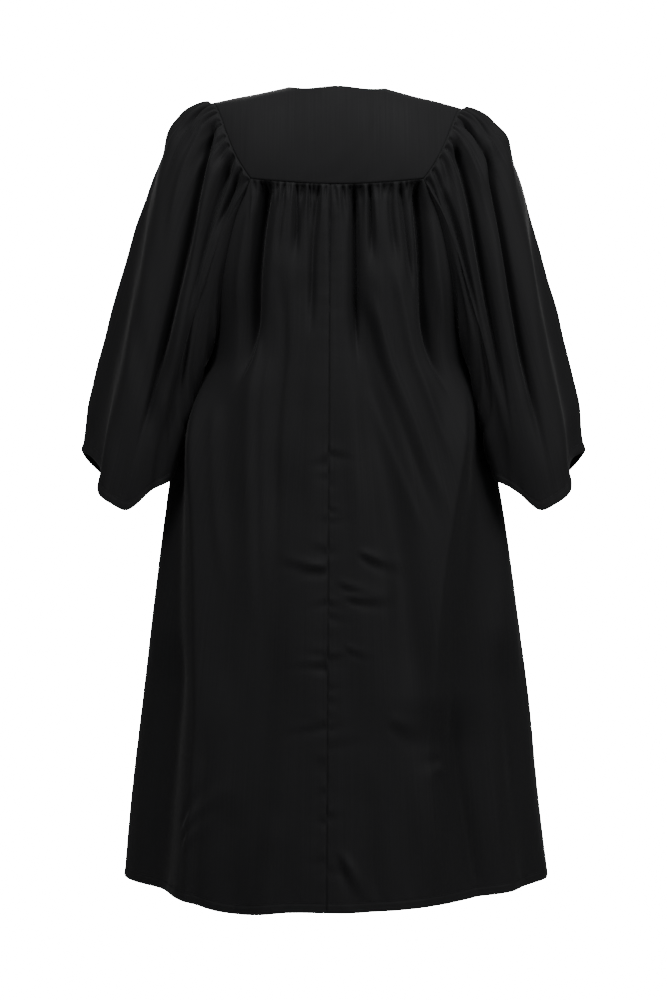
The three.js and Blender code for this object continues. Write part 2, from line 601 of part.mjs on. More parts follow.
function yokeRow(t, side, face) {
  const row = [];
  for (let i = 0; i <= YOKE_COLUMNS; i += 1) {
    const s = i / YOKE_COLUMNS;
    const { x, turn } = yokeGridPoint(s, t, side, face);
    const p = yokePoint(x, turn, side, face);
    const n = t === 1 ? bodyNormal(x, p.z, side, face) : yokeNormal(x, turn, side, face);
    if (turn === 0) {
      p.y += facing(face) * (SEAM_GAP / 2);
      n.setY(0).normalize();
    }
    if (t === 1) p.z += SEAM_GAP / 2;
    if (face === "front" && i === 0) p.x = ZIP.slot;
    if (side === "right") {
      p.x *= -1;
      n.x *= -1;
    }
    row.push({ s, p, n });
  }
  return row;
}

const yokeTs = Array.from({ length: YOKE_ROWS + 1 }, (_, i) => i / YOKE_ROWS);

function backYoke() {
  return clothWall(yokeTs.map((t) => {
    const right = yokeRow(t, "right", "back").slice(1).reverse();
    return [...right.map((point) => ({ ...point, s: -point.s })), ...yokeRow(t, "left", "back")];
  }));
}

const frontYoke = (side) => clothWall(yokeTs.map((t) => yokeRow(t, side, "front")));

// Zip: two tapes and their closed chain as one strip behind the front edges, taken along the same rows.
function zipLine() {
  const yoke = yokeTs.slice(0, -1).map((t) => yokeRow(t, "left", "front")[0]);
  const panelRows = PANEL_ROWS.front.map(({ t }) => panelPoint(0, t, "left", "front"));
  const below = panelRows.filter(({ p }) => p.z > ZIP.bottom - 20);
  return [...yoke, ...below].map(({ p, n }) => ({ p: p.setX(0), n: n.setX(0).normalize() }));
}

function zipStrip() {
  const line = zipLine();
  const back = -(CLOTH + SEAM_GAP);
  const positions = line.flatMap(({ p, n }) => {
    const front = back + (p.z > ZIP.bottom + 20 ? ZIP.chain : 0.12);
    const half = [
      [ZIP.tapeHalf, back - ZIP.tape],
      [ZIP.tapeHalf, back],
      [ZIP.chainHalf, back],
      [ZIP.chainHalf, front],
    ];
    const outline = [...half, ...half.toReversed().map(([x, d]) => [-x, d])];
    return outline.flatMap(([x, d]) => [x, p.y + d * n.y, p.z + d * n.z]);
  });
  const ring = 8;
  const faces = [];
  for (let r = 0; r < line.length - 1; r += 1) {
    for (let i = 0; i < ring; i += 1) {
      const [a, b] = [r * ring + i, r * ring + ((i + 1) % ring)];
      faces.push([a, b, b + ring], [a, b + ring, a + ring]);
    }
  }
  for (const [first, flip] of [[0, true], [(line.length - 1) * ring, false]]) {
    for (const [a, b, c] of [[0, 1, 2], [0, 2, 5], [0, 5, 7], [5, 6, 7], [2, 3, 4], [2, 4, 5]]) {
      faces.push(flip ? [first + a, first + c, first + b] : [first + a, first + b, first + c]);
    }
  }
  return closedMesh(positions, faces);
}

// Slider and pull tab, in a frame of their own: x across the zip, y up along it and z out of the cloth.
function sliderFrame() {
  const line = zipLine();
  let i = 1;
  while (line[i].p.distanceTo(line[0].p) < ZIP.sliderDrop) i += 1;
  const { p, n } = line[i];
  const across = new THREE.Vector3(1, 0, 0);
  const frame = new THREE.Matrix4().makeBasis(across, n.clone().cross(across), n);
  return frame.setPosition(p.addScaledVector(n, SLIDER.standOff));
}

function roundedRectangle(width, height, corner) {
  const [x, y] = [width / 2, height / 2];
  const shape = new THREE.Shape();
  shape.moveTo(-x + corner, -y);
  shape.absarc(x - corner, -y + corner, corner, -Math.PI / 2, 0);
  shape.absarc(x - corner, y - corner, corner, 0, Math.PI / 2);
  shape.absarc(-x + corner, y - corner, corner, Math.PI / 2, Math.PI);
  shape.absarc(-x + corner, -y + corner, corner, Math.PI, 1.5 * Math.PI);
  return shape;
}

const wasm = await Module();
wasm.setup();

function toSolid(geometry) {
  geometry.deleteAttribute("normal");
  geometry.deleteAttribute("uv");
  const merged = mergeVertices(geometry, 1e-4);
  const vertProperties = new Float32Array(merged.attributes.position.array);
  const triVerts = new Uint32Array(merged.index.array);
  return new wasm.Manifold(new wasm.Mesh({ numProp: 3, vertProperties, triVerts }));
}

function toGeometry(solid) {
  const { vertProperties, triVerts } = solid.getMesh();
  const faces = [];
  for (let i = 0; i < triVerts.length; i += 3) faces.push([...triVerts.slice(i, i + 3)]);
  return closedMesh([...vertProperties], faces);
}

// The slider: a plate over the chain and a ring that stands on it and holds the pull tab.
function slider(frame) {
  const plate = new THREE.ExtrudeGeometry(roundedRectangle(SLIDER.width, SLIDER.height, SLIDER.corner), {
    depth: SLIDER.thick,
    bevelEnabled: false,
    curveSegments: 4,
  });
  const outer = BRIDGE.hole + BRIDGE.ring;
  const foot = BRIDGE.pivot - SLIDER.thick / 2;
  const ring = new THREE.Shape().moveTo(-outer, -foot);
  ring.lineTo(outer, -foot);
  ring.absarc(0, 0, outer, 0, Math.PI);
  ring.holes.push(new THREE.Path().absarc(0, 0, BRIDGE.hole, 0, 2 * Math.PI, true));
  const bridge = new THREE.ExtrudeGeometry(ring, {
    depth: BRIDGE.width,
    bevelEnabled: false,
    curveSegments: 8,
  });
  const upright = new THREE.Matrix4().makeBasis(
    new THREE.Vector3(0, 1, 0),
    new THREE.Vector3(0, 0, 1),
    new THREE.Vector3(1, 0, 0),
  );
  bridge.applyMatrix4(upright).translate(-BRIDGE.width / 2, 0, BRIDGE.pivot);
  return toGeometry(toSolid(plate).add(toSolid(bridge))).applyMatrix4(frame);
}

// The pull tab hangs from its bar, which passes through the ring.
function pull(frame) {
  const shape = roundedRectangle(PULL.width, PULL.length, PULL.corner);
  const x = PULL.windowWidth / 2;
  const top = PULL.length / 2 - PULL.bar;
  const window = new THREE.Path().moveTo(-x, top);
  window.lineTo(-x, top - PULL.windowHeight);
  window.lineTo(x, top - PULL.windowHeight);
  window.lineTo(x, top);
  shape.holes.push(window);
  const tab = new THREE.ExtrudeGeometry(shape, { depth: PULL.thick, bevelEnabled: false, curveSegments: 4 });
  tab.translate(0, PULL.bar / 2 - PULL.length / 2, BRIDGE.pivot - PULL.thick / 2);
  return toGeometry(toSolid(tab)).applyMatrix4(frame);
}

const gown = new THREE.Group();
const add = (name, geometry, look = BLACK) => {
  const mesh = new THREE.Mesh(geometry, new THREE.MeshStandardMaterial(look));
  mesh.name = name;
  gown.add(mesh);
};

add("yoke_back", backYoke());
for (const side of ["left", "right"]) {
  add(`yoke_front_${side}`, frontYoke(side));
  add(`back_${side}`, panel(side, "back"));
  add(`front_${side}`, panel(side, "front"));
  add(`sleeve_${side}`, sleeve(side));
}

const frame = sliderFrame();
add("zip", zipStrip(), { color: 0x101012, roughness: 0.6, metalness: 0 });
add("zip_slider", slider(frame), METAL);
add("zip_pull", pull(frame), METAL);

export default gown;
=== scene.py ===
"""A black choir gown, worn with no wearer in it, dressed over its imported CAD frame.

The cloth pieces follow the same form as the solids: a yoke over the shoulders, panels gathered into it,
wide bell sleeves and a zip down the centre front. The form is worked out in millimetres and each mesh is
written in metres.
"""

from __future__ import annotations

import logging
import math
from dataclasses import dataclass, field
from enum import Enum

import bpy
import numpy as np
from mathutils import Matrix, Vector

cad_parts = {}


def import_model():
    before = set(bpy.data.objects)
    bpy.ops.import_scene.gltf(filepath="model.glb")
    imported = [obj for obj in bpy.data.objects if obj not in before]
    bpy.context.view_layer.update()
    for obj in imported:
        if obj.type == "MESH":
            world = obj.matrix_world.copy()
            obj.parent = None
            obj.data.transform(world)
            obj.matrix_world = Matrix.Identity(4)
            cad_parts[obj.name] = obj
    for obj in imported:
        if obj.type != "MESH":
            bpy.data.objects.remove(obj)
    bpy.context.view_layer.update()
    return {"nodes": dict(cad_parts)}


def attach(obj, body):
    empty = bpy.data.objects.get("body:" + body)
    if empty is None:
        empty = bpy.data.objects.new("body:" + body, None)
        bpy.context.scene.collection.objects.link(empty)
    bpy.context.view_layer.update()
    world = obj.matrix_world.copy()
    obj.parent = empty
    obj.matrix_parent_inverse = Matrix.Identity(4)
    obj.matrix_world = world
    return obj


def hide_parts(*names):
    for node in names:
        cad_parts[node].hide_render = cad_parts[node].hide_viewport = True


LOG = logging.getLogger("choir_gown")
Array = np.ndarray
Colour = tuple[float, float, float]
Socket = bpy.types.NodeSocket
MM = 0.001


class Side(Enum):
    """The wearer's left or right half of the gown."""

    LEFT = "left"
    RIGHT = "right"

    @property
    def sign(self) -> int:
        """Direction of the half along X."""
        return 1 if self is Side.LEFT else -1


class Face(Enum):
    """The back or the front of the gown."""

    BACK = "back"
    FRONT = "front"

    @property
    def sign(self) -> int:
        """Direction of the face along Y."""
        return 1 if self is Face.BACK else -1


def smooth(value: Array | float) -> Array:
    """A soft step from 0 to 1.

    Args:
        value: where the step is read, between 0 and 1.

    Returns:
        The height of the step.
    """
    k = np.clip(value, 0.0, 1.0)
    return k * k * (3 - 2 * k)


def mix(a: Array | float, b: Array | float, share: Array | float) -> Array:
    """A value between a and b.

    Args:
        a: value at share 0.
        b: value at share 1.
        share: place between them.

    Returns:
        The value at that place.
    """
    return a + (b - a) * share


def unit(vectors: Array) -> Array:
    """Vectors of length 1.

    Args:
        vectors: an array whose last axis holds x, y and z.

    Returns:
        The same directions with length 1.
    """
    return vectors / np.maximum(np.linalg.norm(vectors, axis=-1, keepdims=True), 1e-9)


def stack(x: Array, y: Array, z: Array) -> Array:
    """Points from their coordinates.

    Args:
        x: first coordinates.
        y: second coordinates.
        z: third coordinates.

    Returns:
        An array whose last axis holds x, y and z.
    """
    return np.stack(np.broadcast_arrays(x, y, z), axis=-1).astype(float)


@dataclass(frozen=True)
class Table:
    """Rows of named columns, read on a smooth curve over the first column."""

    names: str
    rows: tuple[tuple[float, ...], ...]

    def at(self, name: str, where: Array | float) -> Array:
        """Reads one column.

        Args:
            name: the column's name.
            where: place along the first column.

        Returns:
            The column's value there.
        """
        data = np.array(self.rows, dtype=float)
        turn = 1.0 if data[1, 0] > data[0, 0] else -1.0
        keys = data[:, 0] * turn
        values = data[:, self.names.split().index(name)]
        slopes = np.diff(values) / np.diff(keys)
        tangents = np.concatenate([slopes[:1], (slopes[:-1] + slopes[1:]) / 2, slopes[-1:]])
        place = np.asarray(where, dtype=float) * turn
        i = np.clip(np.searchsorted(keys, place, side="left") - 1, 0, len(keys) - 2)
        span = keys[i + 1] - keys[i]
        k = np.clip((place - keys[i]) / span, 0, 1)
        start = 2 * k**3 - 3 * k**2 + 1
        leave = (k**3 - 2 * k**2 + k) * span * tangents[i]
        arrive = (k**3 - k**2) * span * tangents[i + 1]
        return start * values[i] + leave + (1 - start) * values[i + 1] + arrive


@dataclass(frozen=True)
class Fold:
    """A soft trough or ridge that runs down the cloth.

    begin and end are places along the cloth. top, middle and foot are where the fold lies there, across it.
    wide is its half width, high its height, negative for a trough, and lean makes one flank steeper.
    """

    begin: float
    end: float
    top: float
    middle: float
    foot: float
    wide: float
    high: float
    lean: float = 0.0

    def height(self, at: Array, across: Array, scale: Array | float = 1.0) -> Array:
        """Height of the fold over the plain cloth.

        Args:
            at: place along the cloth.
            across: place across it.
            scale: turns a step across into the unit of wide.

        Returns:
            The height, in millimetres.
        """
        k = (at - self.begin) / (self.end - self.begin)
        start = self.top * (1 - k) * (1 - 2 * k)
        centre = start + 4 * self.middle * k * (1 - k) + self.foot * k * (2 * k - 1)
        away = (across - centre) * scale / self.wide
        away = away / (1 + self.lean * np.tanh(away))
        fade = smooth(k / 0.15) * smooth((1 - k) / 0.35)
        return np.where((k > 0) & (k < 1), self.high * fade * np.exp(-away * away), 0.0)


@dataclass(frozen=True)
class Crease:
    """A pulled line in the cloth that starts sharply at one place and dies out towards another.

    z0 and z1 are the heights of its ends, and across0 and across1 their shares across the half section. wide
    is its half width and high its height, both in millimetres.
    """

    z0: float
    across0: float
    z1: float
    across1: float
    wide: float
    high: float

    def height(self, z: Array, across: Array, scale: Array) -> Array:
        """Height of the crease over the cloth.

        Args:
            z: height of each point.
            across: share across the half section.
            scale: run of the half section in millimetres.

        Returns:
            The height, in millimetres.
        """
        run = np.mean(scale)
        direction = np.array([(self.across1 - self.across0) * run, self.z1 - self.z0])
        length = float(np.linalg.norm(direction))
        direction = direction / length
        dx = (across - self.across0) * scale
        dz = z - self.z0
        along = (dx * direction[0] + dz * direction[1]) / length
        away = (dz * direction[0] - dx * direction[1]) / self.wide
        inside = np.clip(along, 0, 1)
        away = (away + 0.4 * np.sin(math.pi * inside)) / (0.7 + 0.9 * inside)
        fade = smooth((along + 0.12) / 0.3) * (1 - smooth(along / 1.15))
        return self.high * fade * (np.exp(-away * away) - 0.8 * np.exp(-((away + 1.6) ** 2)))


# Sizes of the yoke, in millimetres where they are lengths
NECK_HALF_WIDTH = 80.0
SHOULDER_X = 203.0
NECK_POINT_HALF = 8.6
NECK_SHARE = 0.4
RIDGE_TOP = 6.0
RIDGE_SLOPE = {Side.LEFT: 0.205, Side.RIGHT: 0.265}
RIDGE_ROUNDING = 60.0
NAPE_HIGH = 22.0
NAPE_WIDE = 50.0
YOKE_COLUMNS = 15

# Half widths and depths of the body at each height, with how round its section is
BODY = Table(
    "z left right back front round",
    (
        (-150, 220, 220, 109, 98, 2.5),
        (-290, 216, 216, 126, 116, 2.5),
        (-441, 203, 204, 141, 128, 2.4),
        (-478, 220, 218, 145, 131, 2.35),
        (-520, 239, 233, 149, 134, 2.3),
        (-606, 263, 253, 158, 140, 2.2),
        (-691, 276, 268, 167, 147, 2.1),
        (-835, 294, 288, 184, 158, 2.0),
        (-979, 311, 307, 201, 170, 1.85),
        (-1123, 328, 321, 220, 183, 1.8),
        (-1265, 341, 338, 238, 198, 1.75),
    ),
)
HEM_Z = {Face.BACK: -1265.0, Face.FRONT: -1252.0}
HEM_SIDE_Z = -1257.0
CENTRE_BACK = Table("z x", ((-173, 11), (-1265, 16)))
SEAM_SHARE = 0.62
SEAM_LAP = 0.25
SIDE_MARGIN = 2
NECK_STITCH = 5.0
HEM_FOLD = 15.0

# Zip: half its slot in the cloth, the stitches beside it, its end, and how the cloth gives way to it
ZIP_SLOT = 2.7
ZIP_STITCH = 9.0
ZIP_BOTTOM = -640.0
ZIP_TAPER = 8.0
ZIP_EASE = 9.0

# Lower armholes: across is the share of the body's half width.
ARMHOLE_END = 6
ARMHOLE = {
    Face.BACK: Table(
        "row z across",
        (
            (0, -162, 0.61),
            (1, -219, 0.717),
            (2, -288, 0.8),
            (3, -345, 0.868),
            (4, -400, 0.93),
            (5, -430, 0.976),
            (6, -441, 1),
        ),
    ),
    Face.FRONT: Table(
        "row z across",
        (
            (0, -150, 0.7),
            (1, -205, 0.72),
            (2, -285, 0.785),
            (3, -355, 0.865),
            (4, -408, 0.935),
            (5, -433, 0.98),
            (6, -441, 1),
        ),
    ),
}

# Sleeves: around runs from the shoulder point (0) down the back to the underarm (0.5).
SLEEVE_LINES = Table(
    "around lean slant reach cuff hang",
    (
        (0, 17, 0, 82, 0, 420),
        (0.06, 20, 0, 76, 0.1, 400),
        (0.125, 24, 4, 60, 0.17, 340),
        (0.19, 30, 14, 48, 0.24, 290),
        (0.24, 34, 36, 44, 0.3, 235),
        (0.28, 35, 70, 40, 0.335, 190),
        (0.33, 38, 76, 36, 0.37, 150),
        (0.39, 50, 66, 30, 0.41, 110),
        (0.45, 85, 35, 24, 0.455, 72),
        (0.5, 130, 0, 22, 0.5, 45),
    ),
)
YOKE_TURN = 0.25
FALL = np.array([-0.24, 0.0, 0.97])
CUFF = Table(
    "share x y z",
    (
        (0, 416, -38, -579),
        (0.07, 396, 8, -592),
        (0.11, 384, 50, -612),
        (0.15, 372, 84, -646),
        (0.2, 346, 99, -667),
        (0.25, 324, 101, -675),
        (0.33, 291, 92, -648),
        (0.42, 263, 68, -626),
        (0.5, 269, 2, -606),
        (0.58, 275, -55, -616),
        (0.67, 302, -90, -636),
        (0.75, 336, -100, -645),
        (0.85, 378, -96, -626),
        (0.93, 406, -74, -598),
        (1, 416, -38, -579),
    ),
)
CUFF_NEARER = {Side.LEFT: 0.0, Side.RIGHT: 11.0}

# Folds of the body: the large ones, then the smaller ones. Places across are shares of the half section.
PANEL_FOLDS = {
    (Face.BACK, Side.LEFT): (
        Fold(-140, -480, 0.375, 0.45, 0.515, 15, -16),
        Fold(-150, -330, 0.2, 0.215, 0.235, 10, -5),
        Fold(-150, -420, 0.115, 0.133, 0.15, 11, -6),
        Fold(-150, -420, 0.28, 0.33, 0.36, 18, 6),
        Fold(-430, -900, 0.46, 0.4, 0.37, 26, 6),
        Fold(-420, -1500, 0.8, 0.54, 0.6, 36, 16),
        Fold(-480, -1500, 0.93, 0.71, 0.75, 40, -17),
        Fold(-850, -1500, 0.78, 0.79, 0.8, 40, -14),
    ),
    (Face.BACK, Side.RIGHT): (
        Fold(-140, -460, 0.105, 0.1, 0.12, 13, -13),
        Fold(-140, -500, 0.445, 0.48, 0.6, 15, -17),
        Fold(-150, -320, 0.195, 0.19, 0.19, 10, -5),
        Fold(-150, -320, 0.275, 0.3, 0.335, 10, -5),
        Fold(-160, -380, 0.35, 0.385, 0.44, 11, -6),
        Fold(-440, -1400, 0.77, 0.365, 0.47, 32, 14),
        Fold(-950, -1500, 0.4, 0.42, 0.45, 70, -16),
        Fold(-450, -1500, 0.96, 0.55, 0.67, 44, -17),
        Fold(-850, -1500, 0.76, 0.78, 0.8, 40, -12),
    ),
}
FRONT_FOLDS = (
    Fold(-130, -520, 0.33, 0.36, 0.4, 16, -12),
    Fold(-130, -420, 0.52, 0.54, 0.58, 14, -9),
    Fold(-420, -1500, 0.78, 0.5, 0.52, 32, 13),
    Fold(-460, -1500, 0.9, 0.66, 0.68, 32, -20),
)
PANEL_FOLDS[(Face.FRONT, Side.LEFT)] = FRONT_FOLDS
PANEL_FOLDS[(Face.FRONT, Side.RIGHT)] = FRONT_FOLDS
FINE_FOLDS: dict[tuple[Face, Side], tuple[Fold, ...]] = {
    (Face.BACK, Side.LEFT): (
        Fold(-130, -500, 0.378, 0.455, 0.52, 8, -16, 0.3),
        Fold(-420, -1500, 0.8, 0.54, 0.6, 9, 3),
        Fold(-150, -290, 0.2, 0.213, 0.23, 4.5, -6),
        Fold(-150, -430, 0.115, 0.135, 0.15, 5, -5.5),
        Fold(-150, -300, 0.29, 0.305, 0.33, 4.5, -4.5),
        Fold(-165, -330, 0.425, 0.46, 0.49, 8, 3.5),
        Fold(-190, -400, 0.47, 0.53, 0.585, 9, 4),
        Fold(-300, -620, 0.2, 0.19, 0.17, 16, -2.5),
        Fold(-260, -560, 0.26, 0.25, 0.25, 14, 2.5),
        Fold(-560, -1240, 0.3, 0.27, 0.28, 22, -3.5),
        Fold(-640, -1290, 0.16, 0.17, 0.2, 26, 2.6),
        Fold(-300, -760, 0.3, 0.285, 0.26, 9, -4.5),
        Fold(-380, -900, 0.47, 0.38, 0.33, 10, 4.5, 0.3),
        Fold(-420, -860, 0.38, 0.32, 0.29, 9, 3.5),
        Fold(-500, -820, 0.62, 0.53, 0.46, 11, 4),
        Fold(-420, -1000, 0.13, 0.11, 0.1, 15, 3),
        Fold(-900, -1500, 0.42, 0.4, 0.4, 22, 4),
        Fold(-980, -1500, 0.5, 0.5, 0.51, 14, -4),
        Fold(-1090, -1500, 0.4, 0.37, 0.35, 22, -6),
        Fold(-1110, -1500, 0.22, 0.24, 0.25, 20, 5),
    ),
    (Face.BACK, Side.RIGHT): (
        Fold(-130, -470, 0.105, 0.098, 0.115, 5.5, -10, -0.3),
        Fold(-130, -520, 0.447, 0.5, 0.605, 8, -15, 0.3),
        Fold(-440, -1400, 0.77, 0.365, 0.47, 9, 3),
        Fold(-320, -1170, 0.13, 0.27, 0.345, 26, -14),
        Fold(-150, -300, 0.195, 0.19, 0.188, 4.5, -5.5),
        Fold(-150, -300, 0.278, 0.3, 0.33, 4.5, -5),
        Fold(-160, -350, 0.352, 0.385, 0.43, 5, -6),
        Fold(-165, -300, 0.4, 0.42, 0.44, 7, 3.5),
        Fold(-200, -420, 0.5, 0.56, 0.66, 9, 4),
        Fold(-280, -600, 0.2, 0.26, 0.36, 12, 3),
        Fold(-330, -680, 0.14, 0.15, 0.16, 18, -2.5),
        Fold(-560, -1260, 0.16, 0.17, 0.19, 24, 3),
        Fold(-330, -700, 0.17, 0.35, 0.5, 9, 4.5, -0.3),
        Fold(-350, -720, 0.14, 0.31, 0.46, 8, -3),
        Fold(-470, -740, 0.12, 0.27, 0.4, 10, 2.5, -0.3),
        Fold(-290, -640, 0.3, 0.44, 0.56, 9, 4.5),
        Fold(-450, -1050, 0.07, 0.09, 0.1, 14, 3),
        Fold(-880, -1500, 0.3, 0.31, 0.33, 20, 3.5),
        Fold(-940, -1400, 0.47, 0.53, 0.58, 14, -5),
        Fold(-1050, -1500, 0.1, 0.13, 0.15, 16, -4),
    ),
    (Face.FRONT, Side.LEFT): (
        Fold(-150, -300, 0.16, 0.17, 0.18, 7, -4),
        Fold(-150, -380, 0.24, 0.25, 0.27, 9, 4),
        Fold(-150, -360, 0.44, 0.46, 0.49, 8, 4),
        Fold(-560, -1240, 0.3, 0.29, 0.3, 24, -4),
        Fold(-700, -1290, 0.16, 0.18, 0.2, 28, 3),
    ),
    (Face.FRONT, Side.RIGHT): (
        Fold(-150, -330, 0.14, 0.15, 0.15, 7, -4),
        Fold(-150, -300, 0.25, 0.26, 0.28, 8, 4),
        Fold(-150, -420, 0.42, 0.45, 0.5, 9, 4),
        Fold(-600, -1240, 0.28, 0.27, 0.29, 24, -4),
        Fold(-640, -1290, 0.17, 0.16, 0.18, 28, 3),
    ),
}

# Creases of the panels, as pulled lines
CREASES: dict[tuple[Face, Side], tuple[Crease, ...]] = {
    (Face.BACK, Side.LEFT): (
        Crease(-762, 0.02, -741, 0.25, 6, 4.6),
        Crease(-728, 0.02, -718, 0.12, 6, 2),
        Crease(-1150, 0.02, -1176, 0.1, 6, 3),
        Crease(-1158, 0.56, -1085, 0.36, 9, 4.5),
        Crease(-1180, 0.55, -1130, 0.4, 8, 3),
    ),
    (Face.BACK, Side.RIGHT): (
        Crease(-738, 0.1, -756, 0.3, 7, 4.6),
        Crease(-782, 0.01, -802, 0.24, 6, 2.6),
        Crease(-803, 0.04, -806, 0.24, 6, 4.4),
        Crease(-877, 0.03, -890, 0.16, 4.5, 2),
        Crease(-985, 0.2, -1000, 0.4, 12, 2.4),
        Crease(-1060, 0.42, -1082, 0.28, 9, 3.4),
        Crease(-1182, 0.02, -1268, 0.19, 9, 5),
    ),
    (Face.FRONT, Side.LEFT): (
        Crease(-700, 0.06, -712, 0.24, 8, 1.6),
        Crease(-860, 0.25, -880, 0.08, 8, 1.4),
    ),
    (Face.FRONT, Side.RIGHT): (
        Crease(-760, 0.07, -775, 0.22, 8, 1.6),
        Crease(-930, 0.28, -905, 0.1, 8, 1.4),
    ),
}

# Folds of the sleeves: places down and round the sleeve are shares.
SLEEVE_FOLDS = {
    Side.LEFT: (
        Fold(0.02, 0.95, 0.115, 0.175, 0.185, 0.022, -13),
        Fold(0, 0.9, 0.21, 0.26, 0.32, 0.036, -6),
        Fold(0.02, 0.32, 0.235, 0.238, 0.235, 0.012, -5),
        Fold(0.08, 0.95, 0.165, 0.215, 0.24, 0.02, 8),
        Fold(0.25, 1.4, -0.02, 0.05, 0.075, 0.036, -12),
        Fold(0.3, 1.4, 0.03, 0.115, 0.14, 0.04, 3),
        Fold(0.05, 0.4, -0.035, -0.045, -0.06, 0.012, -5),
    ),
    Side.RIGHT: (
        Fold(0, 0.42, 0.12, 0.095, 0.09, 0.012, -6),
        Fold(0.28, 0.95, 0.085, 0.12, 0.15, 0.03, -15),
        Fold(0.02, 0.85, 0.155, 0.185, 0.24, 0.022, -12),
        Fold(0.05, 0.85, 0.215, 0.265, 0.34, 0.036, -5),
        Fold(0.25, 1.4, -0.02, 0.035, 0.07, 0.034, -11),
        Fold(0.3, 1.4, 0.03, 0.1, 0.135, 0.04, 3),
    ),
}
SLEEVE_FRONT_FOLDS = (
    Fold(0.02, 0.9, -0.12, -0.15, -0.16, 0.024, -12),
    Fold(0, 0.85, -0.22, -0.26, -0.31, 0.028, -18),
)
FINE_SLEEVE_FOLDS = {
    Side.LEFT: (
        Fold(0, 0.97, 0.113, 0.172, 0.183, 0.0095, -13, 0.3),
        Fold(-0.05, 0.62, 0.21, 0.212, 0.236, 0.0085, -14, -0.3),
        Fold(-0.02, 0.38, 0.234, 0.238, 0.232, 0.007, -8),
        Fold(0, 0.42, -0.036, -0.045, -0.06, 0.007, -6),
        Fold(0.03, 0.5, 0.055, 0.065, 0.075, 0.009, -4),
        Fold(0.03, 0.42, 0.15, 0.16, 0.175, 0.009, 3.5),
        Fold(0.1, 0.8, 0.0, 0.03, 0.04, 0.016, 2.5),
        Fold(0.03, 0.55, 0.09, 0.11, 0.13, 0.012, 3.5),
        Fold(-0.1, 1.3, 0.42, 0.41, 0.39, 0.055, 10),
    ),
    Side.RIGHT: (
        Fold(-0.02, 0.44, 0.122, 0.095, 0.088, 0.007, -7),
        Fold(0.26, 0.97, 0.085, 0.12, 0.152, 0.0095, -14, 0.3),
        Fold(0, 0.87, 0.155, 0.184, 0.236, 0.009, -13, 0.3),
        Fold(0.16, 0.62, 0.232, 0.234, 0.25, 0.0075, -8),
        Fold(0.03, 0.5, 0.045, 0.05, 0.055, 0.009, -4),
        Fold(0.03, 0.42, 0.13, 0.14, 0.15, 0.009, 3.5),
        Fold(0.1, 0.8, 0.0, 0.02, 0.03, 0.016, 2.5),
        Fold(0.03, 0.5, 0.195, 0.21, 0.225, 0.01, 3.5),
        Fold(-0.1, 1.3, 0.42, 0.41, 0.39, 0.055, 10),
    ),
}


def ridge_z(x: Array, side: Side) -> Array:
    """Height of the shoulder ridge.

    Args:
        x: distance from the centre.
        side: half of the gown.

    Returns:
        The ridge's height.
    """
    outward = np.sqrt(x * x + RIDGE_ROUNDING**2) - RIDGE_ROUNDING
    return RIDGE_TOP - RIDGE_SLOPE[side] * outward + NAPE_HIGH * np.exp(-((x / NAPE_WIDE) ** 2))


def body_point(x: Array, z: Array, side: Side, face: Face) -> Array:
    """Point of the plain body form.

    Args:
        x: distance from the centre.
        z: height.
        side: half of the gown.
        face: back or front.

    Returns:
        The point, in the half where x is positive.
    """
    power = BODY.at("round", z)
    share = np.minimum(1.0, np.abs(x) / BODY.at(side.value, z))
    return stack(x, face.sign * BODY.at(face.value, z) * (1 - share**power) ** (1 / power), z)


@dataclass(frozen=True)
class Section:
    """Half sections of the body at an array of heights, as points along the cloth with their run."""

    x: Array
    y: Array
    run: Array
    z: Array

    STEPS = 144

    @classmethod
    def cut(cls, z: Array, side: Side, face: Face) -> Section:
        """Cuts the body.

        Args:
            z: heights.
            side: half of the gown.
            face: back or front.

        Returns:
            The sections at those heights.
        """
        turn = np.linspace(0, math.pi / 2, cls.STEPS + 1)
        z = np.asarray(z, dtype=float)
        half = BODY.at(side.value, z)[..., None]
        depth = BODY.at(face.value, z)[..., None]
        power = (2 / BODY.at("round", z))[..., None]
        x = half * np.sin(turn) ** power
        y = face.sign * depth * np.maximum(0, np.cos(turn)) ** power
        steps = np.hypot(np.diff(x, axis=-1), np.diff(y, axis=-1))
        run = np.concatenate([np.zeros(z.shape + (1,)), np.cumsum(steps, axis=-1)], axis=-1)
        return cls(x, y, run, z)

    @property
    def length(self) -> Array:
        """Run of the cloth from the centre to the side."""
        return self.run[..., -1]

    def _between(self, known: Array, target: Array, wanted: Array) -> Array:
        """Reads one array at the place where another reaches a target.

        Args:
            known: rising values along each section.
            target: the value to reach in each section.
            wanted: the values to read.

        Returns:
            One value for each section.
        """
        i = np.clip((known[..., 1:] < target[..., None]).sum(-1), 0, self.STEPS - 1)[..., None]
        low, high = (np.take_along_axis(known, i + j, -1)[..., 0] for j in (0, 1))
        k = np.clip((target - low) / np.maximum(high - low, 1e-9), 0, 1)
        first, last = (np.take_along_axis(wanted, i + j, -1)[..., 0] for j in (0, 1))
        return mix(first, last, k)

    def point(self, share: Array) -> Array:
        """Points at a share of the run.

        Args:
            share: place along the cloth from the centre (0) to the side (1), negative across the middle.

        Returns:
            The points.
        """
        target = np.abs(share) * self.length
        x = np.sign(share) * self._between(self.run, target, self.x)
        return stack(x, self._between(self.run, target, self.y), self.z)

    def share(self, x: Array) -> Array:
        """Share of the run at a distance from the centre.

        Args:
            x: distance from the centre.

        Returns:
            The share, with the sign of x.
        """
        x = np.broadcast_to(x, self.z.shape)
        return np.sign(x) * self._between(self.x, np.abs(x), self.run) / self.length


